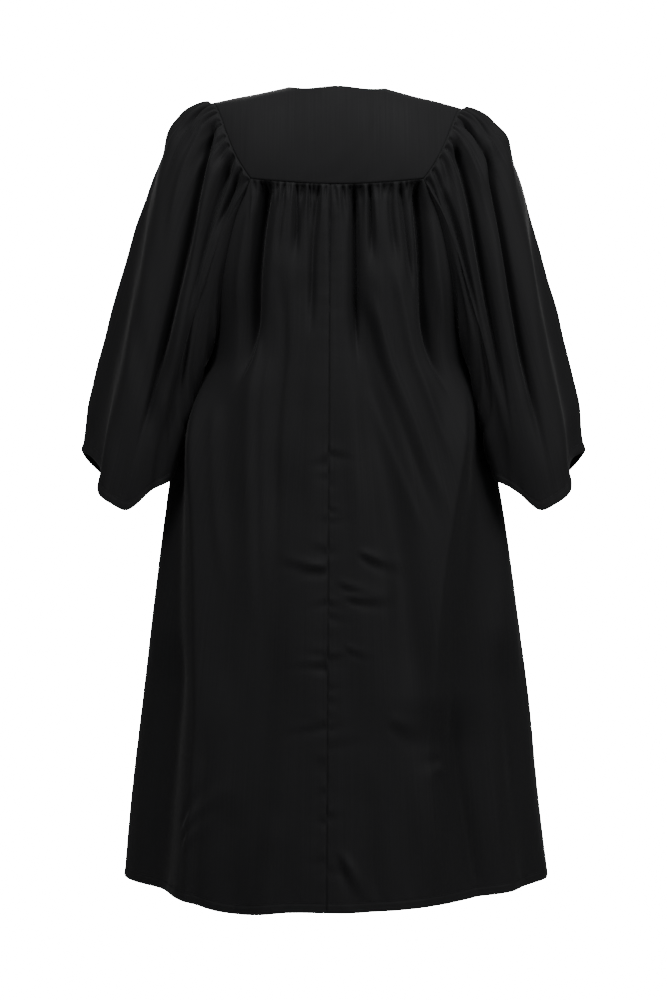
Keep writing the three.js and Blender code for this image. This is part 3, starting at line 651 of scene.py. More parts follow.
@dataclass(frozen=True)
class YokeForm:
    """The yoke's form on one side and face: arches that run over the shoulder, from the ridge to the seam."""

    side: Side
    face: Face

    SEAM_Z = {Face.BACK: -173.0, Face.FRONT: -150.0}
    CORNER_RISE = {Face.BACK: 11.0, Face.FRONT: 0.0}
    NECK_TURN = {Face.BACK: 0.402, Face.FRONT: 0.8}
    CORNER = {Face.BACK: 0.61, Face.FRONT: 0.7}
    BULGE = {Face.BACK: 1.0, Face.FRONT: 1.25}

    @property
    def corner_x(self) -> float:
        """Distance of the yoke's lower corner from the centre."""
        top = ARMHOLE[self.face].rows[0][1]
        return self.CORNER[self.face] * float(BODY.at(self.side.value, top))

    def seam_z(self, x: Array) -> Array:
        """Height of the yoke seam at a distance from the centre."""
        out = np.minimum(1.0, np.abs(x) / self.corner_x)
        return self.SEAM_Z[self.face] + self.CORNER_RISE[self.face] * out**2

    def point(self, x: Array, turn: Array) -> Array:
        """Point of the yoke.

        Args:
            x: distance from the centre.
            turn: place on the arch, 0 on the ridge and 1 on the seam.

        Returns:
            The point.
        """
        x, turn = np.broadcast_arrays(np.asarray(x, float), np.asarray(turn, float))
        seam = body_point(x, self.seam_z(x), self.side, self.face)
        angle = turn * math.pi / 2
        y = seam[..., 1] * np.sin(angle) ** self.BULGE[self.face]
        return stack(x, y, mix(seam[..., 2], ridge_z(x, self.side), np.cos(angle)))

    def edge_x(self, turn: Array) -> Array:
        """Distance of the yoke's side edge from the centre at a place on the arch."""
        return SHOULDER_X - (SHOULDER_X - self.corner_x) * (0.6 * turn + 0.4 * turn**5)

    def normal(self, x: Array, turn: Array) -> Array:
        """Outward direction of the yoke at a point.

        Args:
            x: distance from the centre.
            turn: place on the arch, 0 on the ridge and 1 on the seam.

        Returns:
            Vectors of length 1.
        """
        at = np.maximum(turn, 0.01)
        across = self.point(x + 0.1, at) - self.point(x - 0.1, at)
        down = self.point(x, at + 1e-3) - self.point(x, at - 1e-3)
        normal = unit(np.cross(across, down))
        outward = np.array([0.0, self.face.sign, 1.0])
        return normal * np.where((normal @ outward) < 0, -1.0, 1.0)[..., None]


def body_normal(x: Array, z: Array, side: Side, face: Face) -> Array:
    """Outward direction of the plain body form.

    Args:
        x: distance from the centre.
        z: height.
        side: half of the gown.
        face: back or front.

    Returns:
        Vectors of length 1.
    """
    edge = BODY.at(side.value, z) - SIDE_MARGIN
    inside = np.minimum(x, edge)
    across = body_point(inside + 0.5, z, side, face) - body_point(inside - 0.5, z, side, face)
    down = body_point(inside, z + 0.5, side, face) - body_point(inside, z - 0.5, side, face)
    normal = unit(np.cross(across, down))
    normal = normal * np.where(normal[..., 1:2] * face.sign < 0, -1.0, 1.0)
    return np.where((x > edge)[..., None], np.array([1.0, 0.0, 0.0]), normal)


def grid_normals(points: Array, closed: bool = False) -> Array:
    """Normals of a grid of points.

    Args:
        points: rows and columns of points.
        closed: True where the last column meets the first.

    Returns:
        Vectors of length 1, across the columns turned towards the rows.
    """
    if closed:
        wide = np.concatenate([points[:, -1:], points, points[:, :1]], axis=1)
        across = wide[:, 2:] - wide[:, :-2]
    else:
        across = np.gradient(points, axis=1)
    return unit(np.cross(across, np.gradient(points, axis=0)))


def unevenness(u: Array, v: Array, seed: int) -> Array:
    """The gentle unevenness of hanging cloth, longer down the cloth than across it.

    Args:
        u: place across the cloth in millimetres.
        v: place down it in millimetres.
        seed: picks the pattern.

    Returns:
        Heights between about -1 and 1.
    """
    waves = 9
    rng = np.random.default_rng(seed)
    total = np.zeros(np.broadcast(u, v).shape)
    for _ in range(waves):
        wave_u = 2 * math.pi / rng.uniform(55, 150)
        wave_v = 2 * math.pi / rng.uniform(260, 700) * rng.choice([-1, 1])
        bend = 14 * np.sin(v * 2 * math.pi / rng.uniform(300, 600) + rng.uniform(0, 6.3))
        total += np.sin((u + bend) * wave_u + v * wave_v + rng.uniform(0, 6.3))
    return total * 2 / waves


@dataclass(frozen=True)
class Track:
    """A line on the cloth, in millimetres, with the direction out of the cloth at each point."""

    points: Array
    normals: Array
    closed: bool = False


@dataclass
class ClothSheet:
    """One piece of cloth as a grid of outer points, with its flat place and thickness at each point."""

    name: str
    points: Array
    normals: Array
    flat: Array
    closed: bool = False
    thick: float = 0.8
    hem: Array | None = None
    above: float = 0.12

    def build(self) -> bpy.types.Object:
        """Makes the thin closed shell.

        Returns:
            The object, linked to the scene.
        """
        rows, columns = self.points.shape[:2]
        depth = np.full((rows, columns), self.thick)
        if self.hem is not None:
            depth = depth + self.hem
        inner = self.points - self.normals * depth[..., None]
        vertices = np.concatenate([self.points.reshape(-1, 3), inner.reshape(-1, 3)]) * MM
        count = rows * columns
        wide = columns if self.closed else columns - 1
        r, c = np.meshgrid(np.arange(rows - 1), np.arange(wide), indexing="ij")
        corners_r = np.stack([r, r, r + 1, r + 1], -1).reshape(-1, 4)
        corners_c = np.stack([c, c + 1, c + 1, c], -1).reshape(-1, 4)
        outer = corners_r * columns + corners_c % columns
        corners = np.stack([corners_r, corners_c], -1)
        quads = [outer, outer[:, ::-1] + count]
        spots = [corners, corners[:, ::-1]]
        for line_r, line_c in self._edges(rows, columns):
            a = np.stack([line_r[:-1], line_c[:-1]], -1)
            b = np.stack([line_r[1:], line_c[1:]], -1)
            ia = a[:, 0] * columns + a[:, 1] % columns
            ib = b[:, 0] * columns + b[:, 1] % columns
            quads.append(np.stack([ib, ia, ia + count, ib + count], -1))
            spots.append(np.stack([b, a, a, b], 1))
        faces = np.concatenate(quads)
        spots_all = np.concatenate(spots)
        mesh = bpy.data.meshes.new(self.name)
        mesh.vertices.add(len(vertices))
        mesh.vertices.foreach_set("co", vertices.astype(np.float32).ravel())
        mesh.loops.add(faces.size)
        mesh.loops.foreach_set("vertex_index", faces.astype(np.int32).ravel())
        mesh.polygons.add(len(faces))
        mesh.polygons.foreach_set("loop_start", np.arange(0, faces.size, 4, dtype=np.int32))
        shaded = np.ones(len(faces), dtype=bool)
        shaded[2 * len(outer):] = False
        mesh.polygons.foreach_set("use_smooth", shaded)
        uv = mesh.uv_layers.new(name="cloth")
        flat = self.flat * MM
        uv.data.foreach_set("uv", flat[spots_all[..., 0], spots_all[..., 1]].astype(np.float32).ravel())
        mesh.update()
        mesh.validate()
        piece = bpy.data.objects.new(self.name, mesh)
        bpy.context.scene.collection.objects.link(piece)
        return piece

    def track(self, distance: Array, value: float, across: bool = False, keep: Array | None = None) -> Track:
        """A line on the outer face where a distance has one value.

        Args:
            distance: the distance at each grid point.
            value: the value to follow.
            across: True where the distance changes along a row, False where it changes down a column.
            keep: marks the grid points that the line may pass, if not all.

        Returns:
            The line, a little above the cloth.
        """
        order = (1, 0) if across else (0, 1)
        away = distance.transpose(order) - value
        points, normals = self.points.transpose(*order, 2), self.normals.transpose(*order, 2)
        crossed = away[:-1] * away[1:] <= 0
        if keep is not None:
            crossed &= keep.transpose(order)[:-1]
        column = np.flatnonzero(crossed.any(0))
        row = crossed.argmax(0)[column]
        low, high = away[row, column], away[row + 1, column]
        k = (low / np.where(low == high, 1, low - high))[:, None]
        place = mix(points[row, column], points[row + 1, column], k)
        out = unit(mix(normals[row, column], normals[row + 1, column], k))
        return Track(place + self.above * out, out, self.closed)

    def _edges(self, rows: int, columns: int) -> list[tuple[Array, Array]]:
        """Open edges of the grid, each in the direction that keeps the outer face on the left.

        Args:
            rows: how many rows of points the grid has.
            columns: how many columns it has.

        Returns:
            Row and column numbers of each edge.
        """
        along = np.arange(columns + self.closed)
        first, last = np.zeros(len(along), int), np.full(len(along), rows - 1)
        edges = [(first, along), (last, along[::-1])]
        if not self.closed:
            down = np.arange(rows)
            edges += [(down, np.full(rows, columns - 1)), (down[::-1], np.zeros(rows, int))]
        return edges


class NodeTree:
    """A material's node tree, with short calls for the nodes used here."""

    def __init__(self, name: str) -> None:
        """Starts a material.

        Args:
            name: the material's name.
        """
        self.material = bpy.data.materials.new(name)
        self.material.use_nodes = True
        self.nodes = self.material.node_tree.nodes
        self.shader = self.nodes["Principled BSDF"]

    def add(self, kind: str, **settings: object) -> bpy.types.Node:
        """Adds a node.

        Args:
            kind: the node's type.
            settings: properties to set on it.

        Returns:
            The node.
        """
        node = self.nodes.new(kind)
        for key, value in settings.items():
            setattr(node, key, value)
        return node

    def link(self, source: Socket, target: Socket) -> None:
        """Links one socket to another."""
        self.material.node_tree.links.new(source, target)

    def _put(self, value: object, target: Socket) -> None:
        """Links a socket or sets a plain value.

        Args:
            value: a socket or a value.
            target: the socket that takes it.
        """
        if isinstance(value, Socket):
            self.link(value, target)
        else:
            target.default_value = value

    def math(self, operation: str, a: object, b: object) -> Socket:
        """A sum of two values.

        Args:
            operation: name of the operation.
            a: first value or socket.
            b: second value or socket.

        Returns:
            The result's socket.
        """
        node = self.add("ShaderNodeMath", operation=operation)
        self._put(a, node.inputs[0])
        self._put(b, node.inputs[1])
        return node.outputs[0]

    def scaled(self, place: Socket, scale: tuple[float, float, float]) -> Socket:
        """Scales coordinates with a Mapping node.

        Args:
            place: coordinates.
            scale: the scale along each axis.

        Returns:
            The scaled coordinates.
        """
        node = self.add("ShaderNodeMapping")
        node.inputs["Scale"].default_value = scale
        self.link(place, node.inputs["Vector"])
        return node.outputs["Vector"]

    def noise(self, place: Socket, scale: float, detail: float) -> Socket:
        """Adds soft noise.

        Args:
            place: coordinates.
            scale: the noise's scale.
            detail: the noise's detail.

        Returns:
            The noise's value.
        """
        node = self.add("ShaderNodeTexNoise")
        node.inputs["Scale"].default_value = scale
        node.inputs["Detail"].default_value = detail
        self.link(place, node.inputs["Vector"])
        return node.outputs["Fac"]

    def wave(self, place: Socket, axis: str, count: float) -> Socket:
        """Adds even ribs.

        Args:
            place: coordinates in metres.
            axis: X, Y or Z.
            count: ribs in a metre.

        Returns:
            The ribs' height from 0 to 1.
        """
        node = self.add("ShaderNodeTexWave", wave_type="BANDS", bands_direction=axis, wave_profile="SIN")
        node.inputs["Scale"].default_value = count * 2 * math.pi / 20
        self.link(place, node.inputs["Vector"])
        return node.outputs["Fac"]

    def ramp(self, value: Socket, *stops: tuple[float, Colour]) -> Socket:
        """Turns a value into a colour.

        Args:
            value: the value's socket.
            stops: two places with their colours.

        Returns:
            The colour's socket.
        """
        node = self.add("ShaderNodeValToRGB")
        for element, (at, colour) in zip(node.color_ramp.elements, stops):
            element.position = at
            element.color = (*colour, 1.0)
        self.link(value, node.inputs["Fac"])
        return node.outputs["Color"]

    def range(self, value: Socket, low: float, high: float, to_low: float, to_high: float) -> Socket:
        """Maps a value from one range to another.

        Args:
            value: the value's socket.
            low: start of the first range.
            high: end of the first range.
            to_low: value at its start.
            to_high: value at its end.

        Returns:
            The mapped value.
        """
        node = self.add("ShaderNodeMapRange")
        self.link(value, node.inputs["Value"])
        for name, number in (("From Min", low), ("From Max", high), ("To Min", to_low), ("To Max", to_high)):
            node.inputs[name].default_value = number
        return node.outputs["Result"]

    def bump(self, height: Socket, strength: float, distance: float) -> None:
        """Raises the surface.

        Args:
            height: the height's socket.
            strength: the bump's strength.
            distance: the bump's distance in metres.
        """
        node = self.add("ShaderNodeBump")
        node.inputs["Strength"].default_value = strength
        node.inputs["Distance"].default_value = distance
        self.link(height, node.inputs["Height"])
        self.link(node.outputs["Normal"], self.shader.inputs["Normal"])

    def dress(self, colour: Socket, rough: Socket | float) -> None:
        """Sets the surface's colour and roughness."""
        self.link(colour, self.shader.inputs["Base Color"])
        self._put(rough, self.shader.inputs["Roughness"])


@dataclass(frozen=True)
class Cloth:
    """Black woven polyester: matt, with a faint satin sheen and fine streaks along the warp."""

    name: str = "black_polyester"
    dark: Colour = (0.0082, 0.0082, 0.009)
    light: Colour = (0.0108, 0.0108, 0.0118)
    rough: float = 0.74
    thread: float = 0.00045
    streak: float = 0.0012
    sheen: float = 0.05

    def material(self) -> bpy.types.Material:
        """Builds the finish.

        Returns:
            The material.
        """
        tree = NodeTree(self.name)
        shader = tree.shader
        shader.inputs["Sheen Weight"].default_value = self.sheen
        shader.inputs["Sheen Roughness"].default_value = 0.35
        shader.inputs["Specular IOR Level"].default_value = 0.22
        place = tree.add("ShaderNodeUVMap", uv_map="cloth").outputs["UV"]
        streaks = tree.noise(tree.scaled(place, (1 / self.streak, 4.0, 1.0)), scale=1.0, detail=4.0)
        cloud = tree.noise(tree.scaled(place, (9.0, 4.0, 1.0)), scale=1.0, detail=3.0)
        grain = tree.math("ADD", tree.math("MULTIPLY", streaks, 0.65), tree.math("MULTIPLY", cloud, 0.35))
        colour = tree.ramp(grain, (0.3, self.dark), (0.7, self.light))
        tree.dress(colour, tree.range(grain, 0.35, 0.65, self.rough + 0.04, self.rough - 0.04))
        warp = tree.wave(place, "X", 1 / self.thread)
        weft = tree.wave(place, "Y", 1 / self.thread)
        weave = tree.math("MULTIPLY", warp, weft)
        height = tree.math("ADD", tree.math("MULTIPLY", weave, 0.5), tree.math("MULTIPLY", streaks, 0.6))
        tree.bump(height, strength=0.16, distance=0.00018)
        return tree.material


@dataclass(frozen=True)
class Thread:
    """Black sewing thread, a little glossier than the cloth."""

    name: str = "black_thread"
    dark: Colour = (0.012, 0.012, 0.0135)
    light: Colour = (0.018, 0.018, 0.02025)

    def material(self) -> bpy.types.Material:
        """Builds the finish.

        Returns:
            The material.
        """
        tree = NodeTree(self.name)
        tree.shader.inputs["Specular IOR Level"].default_value = 0.4
        place = tree.add("ShaderNodeTexCoord").outputs["Object"]
        twist = tree.noise(tree.scaled(place, (2500.0, 2500.0, 2500.0)), scale=1.0, detail=2.0)
        colour = tree.ramp(twist, (0.3, self.dark), (0.7, self.light))
        tree.dress(colour, tree.range(twist, 0.3, 0.7, 0.42, 0.58))
        tree.bump(twist, strength=0.3, distance=0.0001)
        return tree.material


@dataclass(frozen=True)
class ZipTape:
    """Black woven tape with ribs across it."""

    name: str = "zip_tape_weave"
    dark: Colour = (0.009, 0.009, 0.01)
    light: Colour = (0.0144, 0.0144, 0.016)

    def material(self) -> bpy.types.Material:
        """Builds the finish.

        Returns:
            The material.
        """
        tree = NodeTree(self.name)
        tree.shader.inputs["Specular IOR Level"].default_value = 0.3
        place = tree.add("ShaderNodeTexCoord").outputs["Object"]
        ribs = tree.wave(place, "Z", 1400.0)
        chains = tree.wave(place, "X", 900.0)
        weave = tree.math("MULTIPLY", ribs, chains)
        colour = tree.ramp(weave, (0.2, self.dark), (0.8, self.light))
        tree.dress(colour, tree.range(weave, 0.0, 1.0, 0.8, 0.62))
        tree.bump(weave, strength=0.4, distance=0.0002)
        return tree.material


@dataclass(frozen=True)
class CoilNylon:
    """Black nylon of the zip's coil."""

    name: str = "black_nylon"
    dark: Colour = (0.012, 0.012, 0.013)
    light: Colour = (0.02, 0.02, 0.021)

    def material(self) -> bpy.types.Material:
        """Builds the finish.

        Returns:
            The material.
        """
        tree = NodeTree(self.name)
        place = tree.add("ShaderNodeTexCoord").outputs["Object"]
        haze = tree.noise(tree.scaled(place, (600.0, 600.0, 600.0)), scale=1.0, detail=2.0)
        colour = tree.ramp(haze, (0.3, self.dark), (0.7, self.light))
        tree.dress(colour, tree.range(haze, 0.3, 0.7, 0.3, 0.42))
        tree.bump(haze, strength=0.05, distance=0.0001)
        return tree.material


@dataclass(frozen=True)
class EnamelledMetal:
    """Black enamel on the zip's slider and pull tab, worn brighter along its edges."""

    name: str = "black_enamel"
    enamel: Colour = (0.022, 0.022, 0.024)
    bare: Colour = (0.14, 0.14, 0.145)

    def material(self) -> bpy.types.Material:
        """Builds the finish.

        Returns:
            The material.
        """
        tree = NodeTree(self.name)
        tree.shader.inputs["Metallic"].default_value = 0.85
        place = tree.add("ShaderNodeTexCoord").outputs["Object"]
        spots = tree.noise(tree.scaled(place, (900.0, 900.0, 900.0)), scale=1.0, detail=4.0)
        point = tree.add("ShaderNodeNewGeometry").outputs["Pointiness"]
        corner = tree.range(point, 0.52, 0.6, 0.0, 1.0)
        worn = tree.math("MULTIPLY", corner, tree.range(spots, 0.4, 0.6, 0.3, 1.0))
        colour = tree.ramp(worn, (0.2, self.enamel), (0.9, self.bare))
        tree.dress(colour, tree.range(spots, 0.3, 0.7, 0.3, 0.44))
        tree.bump(spots, strength=0.06, distance=0.0001)
        return tree.material


@dataclass(frozen=True)
class StudioWhite:
    """Plain pale studio floor."""

    name: str = "studio_floor"
    dark: Colour = (0.8, 0.8, 0.8)
    light: Colour = (0.84, 0.84, 0.84)
    rough: float = 0.9

    def material(self) -> bpy.types.Material:
        """Builds the finish.

        Returns:
            The material.
        """
        tree = NodeTree(self.name)
        place = tree.add("ShaderNodeTexCoord").outputs["Object"]
        cloud = tree.noise(place, scale=0.8, detail=2.0)
        tree.dress(tree.ramp(cloud, (0.3, self.dark), (0.7, self.light)), self.rough)
        return tree.material


@dataclass(frozen=True)
class Finishes:
    """The materials of the gown, made once."""

    cloth: bpy.types.Material
    thread: bpy.types.Material
    tape: bpy.types.Material
    coil: bpy.types.Material
    metal: bpy.types.Material

    @classmethod
    def make(cls) -> Finishes:
        """Builds every finish.

        Returns:
            The materials.
        """
        return cls(
            Cloth().material(),
            Thread().material(),
            ZipTape().material(),
            CoilNylon().material(),
            EnamelledMetal().material(),
        )


def mirrored(points: Array, side: Side) -> Array:
    """Turns points of the half where x is positive to a side."""
    return points * np.array([side.sign, 1.0, 1.0])


@dataclass(frozen=True)
class Gathers:
    """Small pleats that start at a seam and die out down the cloth, each of its own depth and length."""

    count: int
    pitch: float
    length: tuple[float, float] = (26.0, 95.0)
    deep: tuple[float, float] = (2.6, 6.2)
    seed: int = 0

    def height(self, k: Array, down: Array) -> Array:
        """Height of the gathers.

        Args:
            k: how many gathers lie between the start of the seam and this place.
            down: distance from the seam in millimetres.

        Returns:
            The height in millimetres.
        """
        rng = np.random.default_rng(self.seed)
        total = 0.0
        for i in range(self.count):
            centre = i + 0.5 + rng.uniform(-0.3, 0.3)
            long = rng.uniform(0, 1) ** 1.4
            length = mix(*self.length, long)
            deep = mix(*self.deep, 0.35 * rng.uniform(0, 1) + 0.65 * long)
            wide = rng.uniform(2.6, 3.8) / self.pitch * (0.75 + 0.55 * np.minimum(down / length, 1.5))
            drift = rng.uniform(-0.35, 0.35) * down / length
            away = (k - centre - drift) / wide
            valley = 1.1 * np.exp(-away * away) - 0.4 * np.exp(-((np.abs(away) - 1.9) ** 2))
            total = total - deep * valley * np.exp(-((down / length) ** 2))
        return total * smooth(down / 6)


@dataclass(frozen=True)
class Tucks:
    """Short wrinkles that a seam draws into the cloth beside it, each of its own reach, slant and depth."""

    count: int
    span: tuple[float, float]
    reach: tuple[float, float] = (9.0, 46.0)
    deep: tuple[float, float] = (0.5, 2.3)
    wide: tuple[float, float] = (4.6, 7.4)
    seed: int = 0

    def height(self, z: Array, distance: Array) -> Array:
        """Height of the wrinkles.

        Args:
            z: height of each point.
            distance: distance from the seam in millimetres.

        Returns:
            The height in millimetres.
        """
        rng = np.random.default_rng(self.seed)
        total = np.zeros(z.shape)
        for _ in range(self.count):
            centre = rng.uniform(*self.span)
            reach = mix(*self.reach, rng.uniform(0, 1) ** 2)
            deep = mix(*self.deep, rng.uniform(0, 1))
            slant = rng.uniform(-0.3, 0.3)
            wide = rng.uniform(*self.wide)
            away = (z - centre - slant * distance) / wide
            valley = np.exp(-away * away) - 0.5 * np.exp(-((away - 1.8) ** 2))
            total -= deep * valley * np.exp(-((distance / reach) ** 2))
        return total * smooth(distance / 3.5)


def seam_roll(distance: Array, deep: float, wide: float) -> Array:
    """How far cloth turns in beside a seam.

    Args:
        distance: distance from the seam line in millimetres.
        deep: how far the edge turns in.
        wide: how wide the turned part is.

    Returns:
        A height, negative at the seam.
    """
    return -deep * np.exp(-((distance / wide) ** 2))


def pucker(along: Array, distance: Array, seed: float, high: float = 0.45, reach: float = 11.0) -> Array:
    """Short wrinkles that a line of stitches draws into the cloth beside it.

    Args:
        along: place along the seam in millimetres.
        distance: distance from the seam in millimetres.
        seed: shifts the pattern.
        high: height of the wrinkles.
        reach: how far they reach into the cloth.

    Returns:
        Heights in millimetres.
    """
    short = 0.5 * np.sin(along / 3.1 + seed)
    wave = short + np.sin(along / 5.3 + 2 * seed + 0.05 * distance) + np.sin(along / 9.7 + seed)
    swell = 0.55 + 0.45 * np.sin(along / 41 + seed) * np.sin(along / 97 + 3 * seed)
    return high * swell * wave * 0.5 * np.exp(-distance / reach) * smooth(distance / 2)


def hem_depth(up: Array) -> Array:
    """Extra thickness where the hem is turned up inside.

    Args:
        up: distance from the hem's edge along the cloth in millimetres.

    Returns:
        Extra thickness in millimetres.
    """
    return 0.75 * smooth((HEM_FOLD - up) / 1.2 + 0.5)


def hem_relief(up: Array, along: Array, seed: float) -> Array:
    """Relief of a stitched hem: a dip under the stitches, a full edge and slight pull marks.

    Args:
        up: distance from the hem's edge in millimetres.
        along: place along the hem in millimetres.
        seed: shifts the pattern.

    Returns:
        Heights in millimetres.
    """
    stitched = -0.55 * np.exp(-(((up - HEM_FOLD + 1.5) / 1.3) ** 2))
    full = 0.35 * smooth((HEM_FOLD - up) / 4) * smooth(up / 2)
    edge = -0.6 * np.exp(-((up / 0.9) ** 2))
    pull = 0.3 * np.sin(along / 4.3 + up / 9 + seed) * np.exp(-(((up - HEM_FOLD) / 9) ** 2))
    return stitched + full + edge + pull


def graded(stops: tuple[tuple[float, float, int], ...]) -> Array:
    """Places in stretches of even steps.

    Args:
        stops: start, end and number of steps of each stretch.

    Returns:
        Rising places, the shared ends once.
    """
    parts = [np.linspace(start, end, count, endpoint=False) for start, end, count in stops]
    return np.concatenate([*parts, [stops[-1][1]]])


@dataclass
class ClothPart:
    """A piece of the gown that is cut from cloth and stands for one node."""

    finish: bpy.types.Material
    stitches: list[Track] = field(default_factory=list, init=False)

    @property
    def name(self) -> str:
        """Name of the piece's node, which each kind of piece has."""
        raise NotImplementedError

    def sheet(self) -> ClothSheet:
        """Works out the surface, as each kind of piece does."""
        raise NotImplementedError

    def build(self) -> bpy.types.Object:
        """Makes the piece and lets it stand for its node.

        Returns:
            The object, linked to the scene.
        """
        piece = self.sheet().build()
        piece.data.materials.append(self.finish)
        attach(piece, "gown")
        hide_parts(self.name)
        return piece


@dataclass
class Panel(ClothPart):
    """A body panel: it hangs from the yoke seam and the lower armhole to the hem.

    puff is how far it stands out below the yoke, hem_sag how far the left back hem hangs lower at the share
    sag_at, and bunch_high how far cloth is bunched under the arm at the height bunch_z.
    """

    side: Side
    face: Face
    puff: float = 4.0
    hem_sag: float = 12.0
    sag_at: float = 0.34
    sag_wide: float = 0.15
    bunch_z: float = -460.0
    bunch_high: float = 7.0
    bunch_wide: float = 17.0
    uneven: float = 1.6
    rolled_rows: int = 60

    GATHERS = {
        Face.BACK: Gathers(13, 11.0, (22.0, 78.0), (2.6, 5.8)),
        Face.FRONT: Gathers(11, 13.0, seed=5),
    }
    TUCKS = {
        Side.LEFT: Tucks(24, (-1255.0, -560.0), seed=4),
        Side.RIGHT: Tucks(24, (-1255.0, -560.0), seed=8),
    }
    LOWER_ROWS = {Face.BACK: 168, Face.FRONT: 128}
    SEAM_COLUMNS = {Face.BACK: 126, Face.FRONT: 74}
    BESIDE_COLUMNS = {Face.BACK: 46, Face.FRONT: 30}

    @property
    def name(self) -> str:
        """Name of the panel's node."""
        return f"{self.face.value}_{self.side.value}"

    def places(self) -> tuple[Array, Array]:
        """Columns and rows of the panel's grid.

        Returns:
            Shares across the panel and shares down it.
        """
        seam, beside = self.SEAM_COLUMNS[self.face], self.BESIDE_COLUMNS[self.face]
        s = graded(((0, 0.012, 6), (0.012, SEAM_SHARE, seam), (SEAM_SHARE, 0.99, beside), (0.99, 1, 4)))
        lower = self.LOWER_ROWS[self.face]
        t = graded(((0, 0.012, 8), (0.012, 0.06, 20), (0.06, 0.2, 36), (0.2, 0.984, lower), (0.984, 1, 13)))
        return s, t

    def centre_x(self, z: Array) -> Array:
        """Distance of the centre seam from the middle, in the panel's own half.

        Args:
            z: heights.

        Returns:
            The distance at each height, negative where the seam lies in the other half.
        """
        if self.face is Face.FRONT:
            return np.zeros_like(z)
        return self.side.sign * CENTRE_BACK.at("x", z)

    def top(self, s: Array) -> tuple[Array, Array]:
        """Upper edge of the panel, along the yoke seam and then the armhole.

        Args:
            s: share across the panel.

        Returns:
            Distance from the centre and height.
        """
        yoke = YokeForm(self.side, self.face)
        start = float(self.centre_x(np.array(YokeForm.SEAM_Z[self.face])))
        seam_x = mix(start, yoke.corner_x, s / SEAM_SHARE)
        row = np.clip((s - SEAM_SHARE) / (1 - SEAM_SHARE), 0, 1) * ARMHOLE_END
        hole_z = ARMHOLE[self.face].at("z", row)
        hole_x = ARMHOLE[self.face].at("across", row) * BODY.at(self.side.value, hole_z)
        below = s > SEAM_SHARE
        return np.where(below, hole_x, seam_x), np.where(below, hole_z, yoke.seam_z(seam_x))

    def sheet(self) -> ClothSheet:
        """Works out the panel's surface.

        Returns:
            The sheet of cloth.
        """
        s, t = (grid.T for grid in np.meshgrid(*self.places(), indexing="ij"))
        top_x, top_z = self.top(s)
        hem = mix(HEM_Z[self.face], HEM_SIDE_Z, smooth(s))
        if self.face is Face.BACK and self.side is Side.LEFT:
            hem = hem - self.hem_sag * np.exp(-(((s - self.sag_at) / self.sag_wide) ** 2))
        z = mix(top_z, hem, t)
        first = Section.cut(top_z[0], self.side, self.face).share(top_x[0])[None, :]
        section = Section.cut(z, self.side, self.face)
        centre = section.share(self.centre_x(z))
        share = mix(first, mix(centre, 1.0, s), smooth(t * 1.5))
        base = section.point(share)
        normals = body_normal(base[..., 0], z, self.side, self.face)

        run = section.length
        up = z - hem
        seed = 1.7 * self.side.sign + 0.6 * self.face.sign
        height = self.relief(s, share, z, top_z - z, run)
        beside = self.centre_relief(z, (share - centre) * run, seed)
        to_side = (1 - share) * run
        height += beside + seam_roll(to_side, 0.7, 1.5) + self.roll_below(base)
        height += pucker(-z, to_side, seed + 2, 0.4)
        height += hem_relief(up, share * run, seed)
        points = base + normals * height[..., None]
        self.close_seams(points, s)
        points, normals = mirrored(points, self.side), mirrored(normals, self.side)
        shell = grid_normals(points)
        shell *= np.sign((shell * normals).sum(-1, keepdims=True))
        flat = np.stack([s * float(run[-1].mean()), -z], -1)
        sheet = ClothSheet(f"{self.name}_cloth", points, shell, flat, hem=hem_depth(up))
        self.stitches = [sheet.track(up, HEM_FOLD)]
        if self.face is Face.FRONT:
            beside_zip = z > ZIP_BOTTOM - ZIP_TAPER
            self.stitches.append(sheet.track(np.abs(points[..., 0]), ZIP_STITCH, True, beside_zip))
        return sheet

    def centre_relief(self, z: Array, distance: Array, seed: float) -> Array:
        """Relief beside the centre seam, and beside the zip at the front.

        Args:
            z: height of each point.
            distance: distance from the seam in millimetres.
            seed: shifts the pattern.

        Returns:
            Heights in millimetres.
        """
        if self.face is Face.FRONT:
            return 0.8 * seam_roll(distance, 1.3, 1.2) + pucker(-z, distance, seed, 0.25, 11)
        rolled = seam_roll(distance, 1.7, 1.7) + pucker(-z, distance, seed, 0.6, 20)
        return rolled + self.TUCKS[self.side].height(z, distance)

    def close_seams(self, points: Array, s: Array) -> None:
        """Sets the panel's edges at the zip and tucks them a little under their neighbours at the seams.

        Args:
            points: the panel's points, which are moved.
            s: share across the panel of each point.
        """
        if self.face is Face.FRONT:
            opened = smooth((points[..., 2] - ZIP_BOTTOM) / ZIP_TAPER)
            aside = mix(-SEAM_LAP, ZIP_SLOT, opened)
            points[..., 0] += aside * np.exp(-np.maximum(points[..., 0], 0) / ZIP_EASE)
        else:
            points[:, 0, 0] = self.centre_x(points[:, 0, 2]) - SEAM_LAP
        points[0, s[0] < SEAM_SHARE, 2] += SEAM_LAP
        points[:, -1, 1] -= self.face.sign * SEAM_LAP

    def roll_below(self, base: Array) -> Array:
        """How far the cloth turns in beside the yoke seam and the armhole.

        Args:
            base: points of the plain panel, whose first row lies on that seam.

        Returns:
            Heights, negative at the seam.
        """
        far = 99.0
        upper = base[: self.rolled_rows]
        near = np.full(base.shape[:2], far)
        for point in base[0]:
            distance = np.linalg.norm(upper - point, axis=-1)
            near[: self.rolled_rows] = np.minimum(near[: self.rolled_rows], distance)
        return seam_roll(near, 1.3, 1.7)

